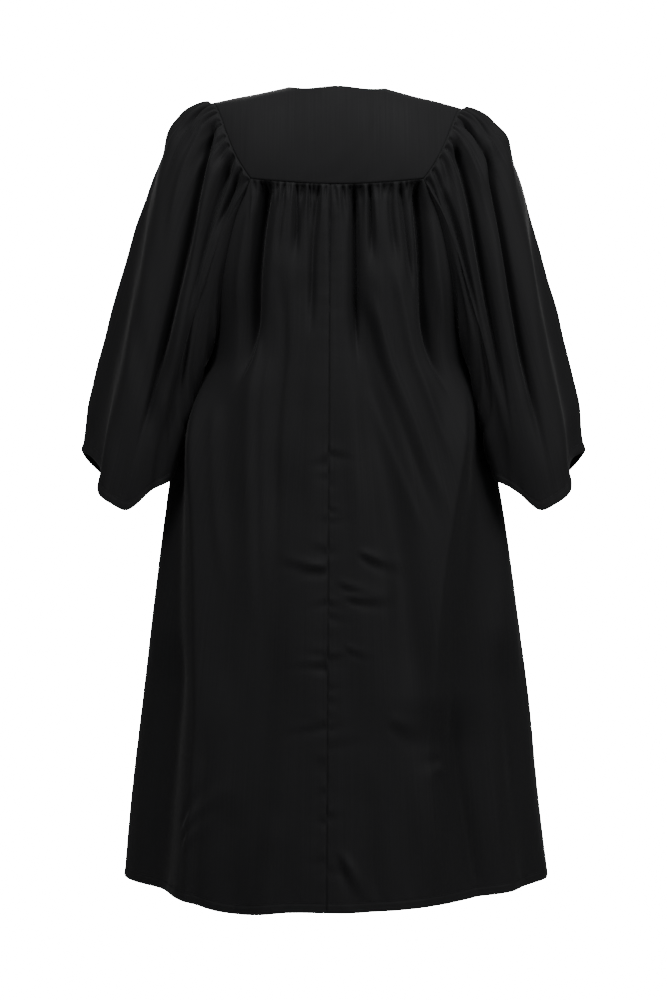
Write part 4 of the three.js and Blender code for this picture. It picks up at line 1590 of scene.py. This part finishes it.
    def relief(self, s: Array, share: Array, z: Array, down: Array, run: Array) -> Array:
        """Height of the panel's folds, gathers and creases over the plain body.

        Args:
            s: share across the panel.
            share: share across the half section.
            z: height of each point.
            down: distance below the panel's upper edge.
            run: run of the half section in millimetres.

        Returns:
            Heights in millimetres.
        """
        key = (self.face, self.side)
        in_seam = smooth((SEAM_SHARE - s) / 0.03)
        from_zip = smooth((share * run - 16) / 16) if self.face is Face.FRONT else 1.0
        edge = from_zip * smooth(s / 0.04) * smooth((1 - s) / 0.1)
        begin = mix(smooth(down / 60), smooth((down + 12) / 30) * smooth(down / 5), in_seam)
        folds = sum(fold.height(z, share, run) for fold in (*PANEL_FOLDS[key], *FINE_FOLDS[key]))
        creases = sum(crease.height(z, share, run) for crease in CREASES[key])
        gathers = self.GATHERS[self.face]
        waves = gathers.height((s / SEAM_SHARE) * gathers.count, down)
        height = begin * folds + in_seam * waves
        height = height + in_seam * self.puff * smooth(down / 30) * smooth((200 - down) / 160)
        seed = 3 + 2 * (self.side is Side.LEFT) + (self.face is Face.FRONT)
        uneven = self.uneven * unevenness(share * run, -z, seed) * smooth((down - 60) / 300)
        underarm = np.exp(-(((z - self.bunch_z) / self.bunch_wide) ** 2)) * smooth((share - 0.86) / 0.1)
        return (height + creases + uneven * smooth(s / 0.08)) * edge + self.bunch_high * underarm


class Armhole:
    """The armhole of one side as a loop.

    around is 0 at the shoulder point and 0.5 at the underarm, and runs down the back first.
    """

    YOKE_STEPS = 48
    BODY_STEPS = 64
    BLEND = 0.02

    def __init__(self, side: Side) -> None:
        """Traces the side edges of the yoke and the upper edges of the panels.

        Args:
            side: half of the gown.
        """
        arounds, points, normals = [], [], []
        for face in (Face.BACK, Face.FRONT):
            yoke = YokeForm(side, face)
            turn = np.arange(self.YOKE_STEPS) / self.YOKE_STEPS
            x = yoke.edge_x(turn)
            row = np.linspace(0, ARMHOLE_END, self.BODY_STEPS + 1)
            z = ARMHOLE[face].at("z", row)
            body_x = ARMHOLE[face].at("across", row) * BODY.at(side.value, z)
            around = np.concatenate([turn * YOKE_TURN, mix(YOKE_TURN, 0.5, row / ARMHOLE_END)])
            point = np.concatenate([yoke.point(x, turn), body_point(body_x, z, side, face)])
            normal = np.concatenate([yoke.normal(x, turn), body_normal(body_x, z, side, face)])
            if face is Face.FRONT:
                around, point, normal = 1 - around[::-1], point[::-1], normal[::-1]
            arounds.append(around)
            points.append(point)
            normals.append(normal)
        self.around = np.concatenate(arounds)
        self.points = np.concatenate(points)
        self.normals = np.concatenate(normals)

    def at(self, around: Array) -> tuple[Array, Array]:
        """Reads the loop.

        Args:
            around: places round the armhole.

        Returns:
            Points, and outward directions of the cloth there.
        """
        place = np.mod(around, 1.0)
        return self._read(self.points, place), unit(self._read(self.normals, place))

    def _read(self, vectors: Array, place: Array) -> Array:
        """Vectors between the loop's own places."""
        return np.stack([np.interp(place, self.around, vectors[:, i]) for i in range(3)], -1)

    def frame(self, around: Array) -> tuple[Array, Array, Array]:
        """Directions beside the armhole, averaged over a short stretch.

        Args:
            around: places round the armhole.

        Returns:
            Outward, away from the body and downward directions.
        """
        steps = [step * self.BLEND for step in (-1.5, -0.75, 0, 0.75, 1.5)]
        places = [self.at(around + step) for step in steps]
        normal = unit(sum(place[1] for place in places))
        along = unit(places[-1][0] - places[0][0])
        away = unit(np.cross(along, normal))
        down = along * np.where(np.mod(around, 1) <= 0.5, 1.0, -1.0)[:, None]
        return normal, away, down


@dataclass
class Sleeve(ClothPart):
    """A wide bell sleeve, gathered into the yoke's side edge and open at the cuff.

    reach is how far round the armhole the gathers go, to each side of the shoulder point.
    """

    side: Side
    reach: float = 0.28125
    uneven: float = 1.8

    COLUMNS = ((0.5, 0.72, 36), (0.72, 1.0, 76), (1.0, 1.27, 108), (1.27, 1.5, 36))
    GATHERS = Gathers(26, 12.5, seed=9)
    FULLER = {Side.LEFT: 7.0, Side.RIGHT: 10.0}
    PATTERN = {Side.LEFT: 12, Side.RIGHT: 11}

    @property
    def name(self) -> str:
        """Name of the sleeve's node."""
        return f"sleeve_{self.side.value}"

    def lines(self, hole: Armhole, around: Array) -> Array:
        """Control points of the lines of cloth from the armhole to the cuff.

        Args:
            hole: the armhole.
            around: places round it.

        Returns:
            Four control points for each place.
        """
        turn = np.mod(around, 1.0)
        place = np.where(turn <= 0.5, turn, 1 - turn)
        normal, away, down = hole.frame(turn)
        lean = np.radians(SLEEVE_LINES.at("lean", place))[:, None]
        slant = np.radians(SLEEVE_LINES.at("slant", place))[:, None]
        start = hole.at(turn)[0] - away * 2 * SEAM_LAP
        lead = (away * np.cos(slant) + down * np.sin(slant)) * np.cos(lean) + normal * np.sin(lean)
        cuff = SLEEVE_LINES.at("cuff", place)
        share = np.where(turn <= 0.5, cuff, 1 - cuff)
        hem = stack(*(CUFF.at(name, share) for name in "xyz"))
        hem[:, 0] -= CUFF_NEARER[self.side]
        reach = SLEEVE_LINES.at("reach", place)[:, None]
        hang = SLEEVE_LINES.at("hang", place)[:, None]
        return np.stack([start, start + lead * reach, hem + FALL * hang, hem])

    def sheet(self) -> ClothSheet:
        """Works out the sleeve's surface.

        Returns:
            The sheet of cloth.
        """
        around = graded(self.COLUMNS)[:-1]
        v = graded(((0, 0.02, 8), (0.02, 0.12, 22), (0.12, 0.3, 28), (0.3, 0.965, 58), (0.965, 1, 13)))
        hole = Armhole(self.side)
        a, b, c, d = self.lines(hole, around)[:, None]
        k = v[:, None, None]
        base = (1 - k) ** 3 * a + 3 * k * (1 - k) ** 2 * b + 3 * k * k * (1 - k) * c + k**3 * d
        normals = grid_normals(base, closed=True)
        centre = base.mean(1, keepdims=True)
        normals *= np.sign(((base - centre) * normals).sum(-1).mean())
        apart = np.abs(around[:, None] - around[None, :])
        weight = np.exp(-((np.minimum(apart, 1 - apart) / Armhole.BLEND) ** 2)) * np.gradient(around)
        normals = unit(np.einsum("ij,rjc->ric", weight, normals))

        signed = np.where(around > 0.5, around - 1, around)[None, :]
        down = v[:, None]
        run = np.linalg.norm(np.diff(base, axis=0), axis=-1).cumsum(0)
        run = np.concatenate([np.zeros((1, len(around))), run])
        up = run[-1:] - run
        girth = np.linalg.norm(base - np.roll(base, 1, axis=1), axis=-1).cumsum(1)
        normals = unit(mix(hole.at(around)[1][None], normals, smooth(run / 14)[..., None]))
        height = self.relief(signed, down, run) * smooth(run / 5) + seam_roll(run, 1.3, 1.8)
        seam = np.minimum(girth, girth[:, -1:] - girth)
        seed = 0.8 * self.side.sign
        height += seam_roll(seam, 0.8, 1.5) + pucker(run, seam, seed, 0.35)
        height += hem_relief(up, girth, seed)
        uneven = self.uneven * unevenness(girth * 0.9, run, self.PATTERN[self.side])
        height += uneven * smooth((down - 0.1) / 0.4) * smooth(seam / 30)
        points = mirrored(base + normals * height[..., None], self.side)
        shell = grid_normals(points, closed=True)
        shell *= np.sign((shell * mirrored(normals, self.side)).sum(-1, keepdims=True))
        wrapped = np.concatenate([girth, girth[:, -1:] + (girth[:, -1:] - girth[:, -2:-1])], axis=1)
        across = np.broadcast_to(wrapped[-1:], (len(v), len(around) + 1))
        length = np.concatenate([run, run[:, :1]], axis=1)
        flat = np.stack([across, length], -1)
        sheet = ClothSheet(f"{self.name}_cloth", points, shell, flat, closed=True, hem=hem_depth(up))
        self.stitches = [sheet.track(up, HEM_FOLD)]
        return sheet

    def relief(self, around: Array, down: Array, run: Array) -> Array:
        """Height of the sleeve's folds and gathers over its plain form.

        Args:
            around: place round the sleeve, 0 at the shoulder point and negative at the front.
            down: share of the way from the armhole to the cuff.
            run: distance from the armhole in millimetres.

        Returns:
            Heights in millimetres.
        """
        folds = (*SLEEVE_FOLDS[self.side], *SLEEVE_FRONT_FOLDS, *FINE_SLEEVE_FOLDS[self.side])
        height = smooth(down / 0.16) * sum(fold.height(down, around) for fold in folds)
        fuller = self.FULLER[self.side] * smooth((down - 0.23) / 0.12) * smooth((0.99 - down) / 0.06)
        height = height + fuller * np.exp(-(((around - 0.01) / 0.11) ** 2))
        in_gathers = smooth((self.reach - np.abs(around)) / 0.03)
        waves = self.GATHERS.height((around / self.reach + 1) / 2 * self.GATHERS.count, run)
        return height + in_gathers * waves


@dataclass
class Yoke(ClothPart):
    """A smooth yoke piece: one across the back, or one of two at the front."""

    face: Face
    sides: tuple[Side, ...]
    column_count: int = 64
    row_count: int = 56
    uneven: float = 0.35
    pattern: int = 21

    @property
    def name(self) -> str:
        """Name of the yoke piece's node."""
        return "yoke_back" if self.face is Face.BACK else f"yoke_front_{self.sides[0].value}"

    def shares(self) -> Array:
        """Share across one half of every column, from the centre to the shoulder."""
        return graded(((0, 0.02, 4), (0.02, 0.98, self.column_count), (0.98, 1, 5)))

    def half(self, side: Side) -> tuple[Array, Array]:
        """One half of the yoke, with columns from the centre to the shoulder.

        Args:
            side: half of the gown.

        Returns:
            Points and their outward directions.
        """
        form = YokeForm(side, self.face)
        s = self.shares()[None, :]
        t = graded(((0, 0.03, 5), (0.03, 0.97, self.row_count), (0.97, 1, 6)))[:, None]
        neck_x, neck_turn = self.neckline(np.minimum(1, s / NECK_SHARE))
        on_neck = s < NECK_SHARE
        shoulder = mix(NECK_HALF_WIDTH, SHOULDER_X, (s - NECK_SHARE) / (1 - NECK_SHARE))
        top_x = np.where(on_neck, neck_x, shoulder)
        turn = mix(np.where(on_neck, neck_turn, 0.0), 1.0, t)
        bend = form.edge_x(turn) - mix(SHOULDER_X, form.corner_x, turn)
        x = mix(top_x, form.corner_x * s, t) + s**2 * bend
        points = form.point(x, turn)
        normals = grid_normals(points)
        normals *= np.where((normals @ np.array([0.0, self.face.sign, 1.0])) < 0, -1.0, 1.0)[..., None]
        return points, normals

    def columns(self) -> Array:
        """Share across its own half of every column of the piece."""
        s = self.shares()
        return np.concatenate([s[:0:-1], s]) if self.face is Face.BACK else s

    def neckline(self, k: Array) -> tuple[Array, Array]:
        """Place of the neckline.

        Args:
            k: share of the neckline from the centre to the shoulder.

        Returns:
            Distance from the centre and turn on the yoke's arch.
        """
        neck_turn = YokeForm.NECK_TURN[self.face]
        if self.face is Face.BACK:
            quarter = k * math.pi / 2
            return NECK_HALF_WIDTH * np.sin(quarter), neck_turn * np.cos(quarter)
        level = 1 / (NECK_SHARE * YOKE_COLUMNS)
        up = np.maximum(0, (k - level) / (1 - level))
        x = mix(NECK_POINT_HALF, NECK_HALF_WIDTH, 1 - (1 - up) ** 1.15)
        return np.where(k <= level, k / level * NECK_POINT_HALF, x), neck_turn * (1 - up)

    def plain(self) -> tuple[Array, Array]:
        """The yoke piece without its relief, its halves joined at the back.

        Returns:
            Points and their outward directions.
        """
        halves = []
        for side in self.sides:
            points, normals = self.half(side)
            points[0, :, 1] -= np.where(np.abs(points[0, :, 1]) < 0.5, self.face.sign * SEAM_LAP, 0)
            points[-1, :, 2] -= SEAM_LAP
            if self.face is Face.FRONT:
                points[..., 0] += ZIP_SLOT * np.exp(-np.maximum(points[..., 0], 0) / ZIP_EASE)
            halves.append((mirrored(points, side), mirrored(normals, side)))
        if self.face is Face.FRONT:
            return halves[0]
        return tuple(np.concatenate([right[:, :0:-1], left], axis=1) for left, right in zip(*halves))

    def sheet(self) -> ClothSheet:
        """Works out the yoke piece's surface.

        Returns:
            The sheet of cloth.
        """
        points, normals = self.plain()
        down = np.linalg.norm(np.diff(points, axis=0), axis=-1).cumsum(0)
        down = np.concatenate([np.zeros((1, points.shape[1])), down])
        across = np.linalg.norm(np.diff(points, axis=1), axis=-1).cumsum(1)
        across = np.concatenate([np.zeros((len(points), 1)), across], axis=1)
        to_seam = down[-1:] - down
        to_side = across[:, -1:] - across
        height = seam_roll(to_seam, 1.0, 1.3) + seam_roll(to_side, 1.2, 1.3) + seam_roll(down, 0.7, 1.2)
        if self.face is Face.BACK:
            height += seam_roll(across, 0.9, 1.3)
        uneven = self.uneven * unevenness(across * 1.3, down * 2, self.pattern)
        height += uneven * smooth(down / 20) * smooth(to_seam / 20)
        height += pucker(across, to_seam, 0.4, 0.25, 7)
        points = points + normals * height[..., None]
        shell = grid_normals(points)
        shell *= np.sign((shell * normals).sum(-1, keepdims=True))
        flat = np.stack([points[..., 0], np.abs(points[..., 1]) - points[..., 2]], -1)
        sheet = ClothSheet(f"{self.name}_cloth", points, shell, flat, thick=1.0)
        on_neck = np.broadcast_to(self.columns(), down.shape) < NECK_SHARE
        self.stitches = [sheet.track(down, NECK_STITCH, keep=on_neck)]
        if self.face is Face.FRONT:
            self.stitches.append(sheet.track(np.abs(points[..., 0]), ZIP_STITCH, True))
        return sheet


def pod(length: float, radius: tuple[float, float], sides: int, sag: float = 0.0) -> tuple[list, list]:
    """A small rounded body that lies along X.

    Args:
        length: its length in metres.
        radius: half its width and half its height.
        sides: how many sides it has.
        sag: how far its ends lie below its middle.

    Returns:
        Vertices and faces.
    """
    stations = ((-0.38, 0.78), (0.0, 1.0), (0.38, 0.78))

    def level(x: float) -> float:
        """Height of the body's middle line at a share of its length from the middle."""
        return -sag * (2 * x) ** 2

    vertices = [(-0.5 * length, 0, level(-0.5)), (0.5 * length, 0, level(0.5))]
    for x, share in stations:
        for i in range(sides):
            turn = 2 * math.pi * i / sides
            across, up = share * radius[0] * math.cos(turn), share * radius[1] * math.sin(turn)
            vertices.append((x * length, across, up + level(x)))
    last = 2 + sides * (len(stations) - 1)
    faces = []
    for i in range(sides):
        j = (i + 1) % sides
        faces.append((0, 2 + j, 2 + i))
        faces.append((1, last + i, last + j))
        for ring in range(len(stations) - 1):
            a = 2 + ring * sides
            faces.append((a + i, a + j, a + sides + j, a + sides + i))
    return vertices, faces


class Repeat:
    """A Geometry Nodes tree that sets a small shape along tracks, one every pitch, facing outwards."""

    SEED = 7

    def __init__(self, name: str, shape: tuple[list, list], finish: bpy.types.Material) -> None:
        """Makes the small shape and the tree.

        Args:
            name: the name of what is repeated.
            shape: vertices and faces of the small shape in metres.
            finish: its material.
        """
        self.name = name
        mesh = bpy.data.meshes.new(f"{name}_shape")
        vertices, faces = shape
        mesh.from_pydata(vertices, [], faces)
        self.shape = bpy.data.objects.new(f"{name}_shape", mesh)
        bpy.context.scene.collection.objects.link(self.shape)
        self.finish = finish
        self.tree = bpy.data.node_groups.new(f"{name}_repeat", "GeometryNodeTree")
        self.sockets: dict[str, str] = {}
        self._wire()

    def _input(self, name: str, kind: str) -> None:
        """Adds an input to the tree and keeps its identifier."""
        socket = self.tree.interface.new_socket(name, in_out="INPUT", socket_type=kind)
        self.sockets[name] = socket.identifier

    def _wire(self) -> None:
        """Builds the tree."""
        self._input("Tracks", "NodeSocketGeometry")
        self._input("Shape", "NodeSocketObject")
        self._input("Pitch", "NodeSocketFloat")
        self._input("Wobble", "NodeSocketFloat")
        self._input("Finish", "NodeSocketMaterial")
        self.tree.interface.new_socket("Pieces", in_out="OUTPUT", socket_type="NodeSocketGeometry")
        new, link = self.tree.nodes.new, self.tree.links.new
        entry = new("NodeGroupInput")
        curve = new("GeometryNodeMeshToCurve")
        link(entry.outputs["Tracks"], curve.inputs["Mesh"])
        steps = new("GeometryNodeResampleCurve")
        steps.mode = "LENGTH"
        link(curve.outputs["Curve"], steps.inputs["Curve"])
        link(entry.outputs["Pitch"], steps.inputs["Length"])
        along = new("GeometryNodeInputTangent")
        out = new("GeometryNodeInputNamedAttribute")
        out.data_type = "FLOAT_VECTOR"
        out.inputs["Name"].default_value = "out"
        turn = new("FunctionNodeAxesToRotation")
        turn.primary_axis = "X"
        turn.secondary_axis = "Z"
        link(along.outputs["Tangent"], turn.inputs["Primary Axis"])
        link(out.outputs["Attribute"], turn.inputs["Secondary Axis"])
        wobble = new("FunctionNodeRandomValue")
        wobble.data_type = "FLOAT_VECTOR"
        wobble.inputs["Min"].default_value = (0, 0, -1)
        wobble.inputs["Max"].default_value = (0, 0, 1)
        wobble.inputs["Seed"].default_value = self.SEED
        amount = new("ShaderNodeVectorMath")
        amount.operation = "SCALE"
        link(wobble.outputs["Value"], amount.inputs[0])
        link(entry.outputs["Wobble"], amount.inputs["Scale"])
        swing = new("FunctionNodeRotateRotation")
        swing.rotation_space = "LOCAL"
        link(turn.outputs["Rotation"], swing.inputs["Rotation"])
        link(amount.outputs["Vector"], swing.inputs["Rotate By"])
        info = new("GeometryNodeObjectInfo")
        link(entry.outputs["Shape"], info.inputs["Object"])
        place = new("GeometryNodeInstanceOnPoints")
        link(steps.outputs["Curve"], place.inputs["Points"])
        link(info.outputs["Geometry"], place.inputs["Instance"])
        link(swing.outputs["Rotation"], place.inputs["Rotation"])
        realize = new("GeometryNodeRealizeInstances")
        link(place.outputs["Instances"], realize.inputs["Geometry"])
        finish = new("GeometryNodeSetMaterial")
        link(realize.outputs["Geometry"], finish.inputs["Geometry"])
        link(entry.outputs["Finish"], finish.inputs["Material"])
        link(finish.outputs["Geometry"], new("NodeGroupOutput").inputs["Pieces"])

    def along(self, tracks: list[Track], pitch: float, wobble: float = 0.0) -> bpy.types.Object:
        """Sets the shape along every track.

        Args:
            tracks: the lines to follow.
            pitch: distance from one shape to the next in metres.
            wobble: how far a shape may turn on the cloth, in radians.

        Returns:
            One plain mesh object of every shape.
        """
        vertices, edges, outward = [], [], []
        for track in tracks:
            first, count = len(vertices), len(track.points)
            vertices += [tuple(point * MM) for point in track.points]
            outward += [tuple(normal) for normal in track.normals]
            edges += [(first + i, first + i + 1) for i in range(count - 1)]
            if track.closed:
                edges.append((first + count - 1, first))
        lines = bpy.data.meshes.new(f"{self.name}_lines")
        lines.from_pydata(vertices, edges, [])
        attribute = lines.attributes.new("out", "FLOAT_VECTOR", "POINT")
        attribute.data.foreach_set("vector", np.array(outward, dtype=np.float32).ravel())
        carrier = bpy.data.objects.new(f"{self.name}_lines", lines)
        bpy.context.scene.collection.objects.link(carrier)
        modifier = carrier.modifiers.new("repeat", "NODES")
        modifier.node_group = self.tree
        values = {"Shape": self.shape, "Pitch": pitch, "Wobble": wobble, "Finish": self.finish}
        for name, value in values.items():
            modifier[self.sockets[name]] = value
        graph = bpy.context.evaluated_depsgraph_get()
        mesh = bpy.data.meshes.new_from_object(carrier.evaluated_get(graph))
        mesh.name = self.name
        mesh.shade_smooth()
        carrier.modifiers.remove(modifier)
        bpy.data.objects.remove(carrier)
        bpy.data.objects.remove(self.shape)
        piece = bpy.data.objects.new(self.name, mesh)
        bpy.context.scene.collection.objects.link(piece)
        return piece


@dataclass(frozen=True)
class Zip:
    """The zip at the centre front: two woven tapes, the closed coil and black metal on the slider and tab.

    The tape and the coil's place are in millimetres. The sizes of a tooth and the pitch are in metres.
    """

    finishes: Finishes
    tape_half: float = 8.0
    tape_deep: float = 1.95
    tape_thick: float = 0.6
    tape_columns: int = 9
    tail: float = 20.0
    coil_high: float = 0.75
    coil_end: float = 2.0
    pitch: float = 0.00135
    tooth_long: float = 0.0026
    tooth_radius: tuple[float, float] = (0.00036, 0.00052)
    tooth_sides: int = 6
    tooth_out: float = 0.00085

    def line(self) -> tuple[Array, Array]:
        """The line down the centre front, from the neckline to the end of the tape.

        Returns:
            Points and their outward directions.
        """
        yoke = YokeForm(Side.LEFT, Face.FRONT)
        turn = np.linspace(YokeForm.NECK_TURN[Face.FRONT], 1, 60, endpoint=False)
        z = np.linspace(YokeForm.SEAM_Z[Face.FRONT], ZIP_BOTTOM - self.tail, 300)
        zero = np.zeros_like(z)
        upper = yoke.point(np.zeros_like(turn), turn)
        points = np.concatenate([upper, body_point(zero, z, Side.LEFT, Face.FRONT)])
        steps = np.gradient(points[:, 1:], axis=0)
        normals = stack(np.zeros(len(points)), steps[:, 1], -steps[:, 0])
        return points, unit(normals)

    def tape(self) -> bpy.types.Object:
        """Makes the two tapes as one strip and lets it stand for its node.

        Returns:
            The object, linked to the scene.
        """
        line, normals = self.line()
        x = np.linspace(-self.tape_half, self.tape_half, self.tape_columns)
        points = (line - normals * self.tape_deep)[:, None] + stack(x, 0 * x, 0 * x)[None]
        spread = np.broadcast_to(normals[:, None], points.shape)
        down = np.broadcast_to(-line[:, None, 2], points.shape[:2])
        flat = np.stack([np.broadcast_to(x, down.shape), down], -1)
        piece = ClothSheet("zip_tapes", points, spread, flat, thick=self.tape_thick).build()
        piece.data.materials.append(self.finishes.tape)
        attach(piece, "gown")
        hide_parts("zip")
        return piece

    def coil(self) -> bpy.types.Object:
        """Makes the closed coil, two rows of teeth that mesh.

        Returns:
            The object, linked to the scene.
        """
        line, normals = self.line()
        above = line[:, 2] > ZIP_BOTTOM + self.coil_end
        raised = line[above] - normals[above] * (self.tape_deep - self.coil_high)
        vertices, faces = [], []
        for side, shift in ((1, 0.0), (-1, self.pitch / 2)):
            own, own_faces = pod(self.tooth_long, self.tooth_radius, self.tooth_sides)
            faces += [tuple(i + len(vertices) for i in face) for face in own_faces]
            vertices += [(shift - y * side, side * (x + self.tooth_out), z) for x, y, z in own]
        tooth = Repeat("zip_coil", (vertices, faces), self.finishes.coil)
        piece = tooth.along([Track(raised, normals[above])], self.pitch)
        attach(piece, "gown")
        return piece

    def metal(self, nodes: dict[str, bpy.types.Object]) -> None:
        """Gives the slider and the pull tab their finish."""
        for name in ("zip_slider", "zip_pull"):
            nodes[name].material_slots[0].material = self.finishes.metal


@dataclass(frozen=True)
class Studio:
    """Camera, floor and soft lights."""

    camera_at: tuple[float, float, float] = (0.0056, 2.8, -0.659)
    focal_share: float = 1.75
    sensor: float = 36.0
    floor_z: float = -2.25
    floor_radius: float = 1.6
    aim: tuple[float, float, float] = (0.0, 0.0, -0.55)
    light_size: float = 1.0
    room: float = 0.11
    backdrop: float = 30.0

    LIGHTS = (
        ("key", (-1.7, 2.3, 1.4), 32),
        ("fill", (1.9, 2.2, 0.9), 29),
        ("side", (-2.4, 1.4, 0.4), 17),
        ("top", (0.0, 0.8, 2.4), 33),
        ("front_key", (0.7, -2.8, 1.5), 48),
        ("front_fill", (-0.9, -2.8, 0.9), 28),
    )

    def camera(self) -> None:
        """Places the camera level with the middle of the gown, behind its back."""
        data = bpy.data.cameras.new("camera")
        data.sensor_fit = "VERTICAL"
        data.sensor_height = self.sensor
        data.sensor_width = self.sensor
        data.lens = self.sensor * self.focal_share
        camera = bpy.data.objects.new("camera", data)
        camera.location = self.camera_at
        camera.rotation_euler = (math.pi / 2, 0, math.pi)
        bpy.context.scene.collection.objects.link(camera)
        bpy.context.scene.camera = camera

    def floor(self) -> None:
        """Makes the plain pale floor, a disc below the gown."""
        bpy.ops.mesh.primitive_circle_add(
            vertices=96, radius=self.floor_radius, fill_type="NGON", location=(0, 0, 0)
        )
        floor = bpy.context.active_object
        floor.name = "studio_floor"
        for vertex in floor.data.vertices:
            vertex.co.z += self.floor_z
        floor.data.materials.append(StudioWhite().material())

    def light(self, name: str, at: tuple[float, float, float], power: float) -> None:
        """Adds a soft square light aimed at the gown.

        Args:
            name: the light's name.
            at: its place.
            power: its power in watts.
        """
        data = bpy.data.lights.new(name, "AREA")
        data.energy = power
        data.size = self.light_size
        light = bpy.data.objects.new(name, data)
        light.location = at
        aim = Vector(self.aim) - Vector(at)
        light.rotation_euler = aim.to_track_quat("-Z", "Y").to_euler()
        bpy.context.scene.collection.objects.link(light)

    def world(self) -> None:
        """Makes a dim white room with a bright white backdrop behind whatever is looked at."""
        world = bpy.data.worlds.new("studio")
        world.use_nodes = True
        nodes, links = world.node_tree.nodes, world.node_tree.links
        background = nodes["Background"]
        background.inputs["Color"].default_value = (1, 1, 1, 1)
        seen = nodes.new("ShaderNodeLightPath")
        strength = nodes.new("ShaderNodeMapRange")
        strength.inputs["To Min"].default_value = self.room
        strength.inputs["To Max"].default_value = self.backdrop
        links.new(seen.outputs["Is Camera Ray"], strength.inputs["Value"])
        links.new(strength.outputs["Result"], background.inputs["Strength"])
        bpy.context.scene.world = world

    def build(self) -> None:
        """Sets up the whole studio."""
        self.camera()
        self.floor()
        self.world()
        for name, at, power in self.LIGHTS:
            self.light(name, at, power)


@dataclass(frozen=True)
class Cut:
    """The flat size that a piece of cloth was cut to, by its bounding rectangle, and its area."""

    width: float
    length: float
    area: float
    held: str = "gathered"

    def declare(self, piece: bpy.types.Object) -> None:
        """Does nothing; the cut is not stated on the piece."""


CUTS = {
    "yoke_back": Cut(0.44, 0.26, 0.07, "hung"),
    "yoke_front": Cut(0.24, 0.26, 0.035, "hung"),
    "back": Cut(0.52, 1.13, 0.43),
    "front": Cut(0.5, 1.13, 0.42),
    "sleeve": Cut(0.86, 0.6, 0.34),
}


@dataclass(frozen=True)
class Gown:
    """The whole gown, built piece by piece. The sizes of a stitch are in metres."""

    finishes: Finishes
    nodes: dict[str, bpy.types.Object]
    stitch_long: float = 0.0024
    stitch_radius: tuple[float, float] = (0.00022, 0.00018)
    stitch_sides: int = 5
    stitch_sag: float = 0.0002
    stitch_pitch: float = 0.0031
    stitch_wobble: float = 0.06

    def report(self, piece: bpy.types.Object) -> None:
        """Reports a finished piece."""
        piece.data.calc_loop_triangles()
        LOG.info("%s: %d triangles", piece.name, len(piece.data.loop_triangles))

    def build(self) -> None:
        """Builds every piece."""
        cloth = self.finishes.cloth
        parts: list[ClothPart] = [Yoke(cloth, Face.BACK, (Side.LEFT, Side.RIGHT))]
        for side in Side:
            parts.append(Yoke(cloth, Face.FRONT, (side,)))
            parts += [Panel(cloth, side, Face.BACK), Panel(cloth, side, Face.FRONT), Sleeve(cloth, side)]
        for part in parts:
            piece = part.build()
            key = part.name if part.name in CUTS else part.name.rsplit("_", 1)[0]
            CUTS[key].declare(piece)
            self.report(piece)
        fastener = Zip(self.finishes)
        self.report(fastener.tape())
        self.report(fastener.coil())
        fastener.metal(self.nodes)
        shape = pod(self.stitch_long, self.stitch_radius, self.stitch_sides, self.stitch_sag)
        lines = [line for part in parts for line in part.stitches]
        stitch = Repeat("stitching", shape, self.finishes.thread)
        stitching = stitch.along(lines, self.stitch_pitch, self.stitch_wobble)
        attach(stitching, "gown")
        self.report(stitching)


def main() -> None:
    """Dresses the frame."""
    logging.basicConfig(level=logging.INFO, format="%(name)s %(message)s")
    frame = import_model()
    Studio().build()
    gown = Gown(Finishes.make(), frame["nodes"])
    gown.build()


if __name__ == "__main__":
    main()
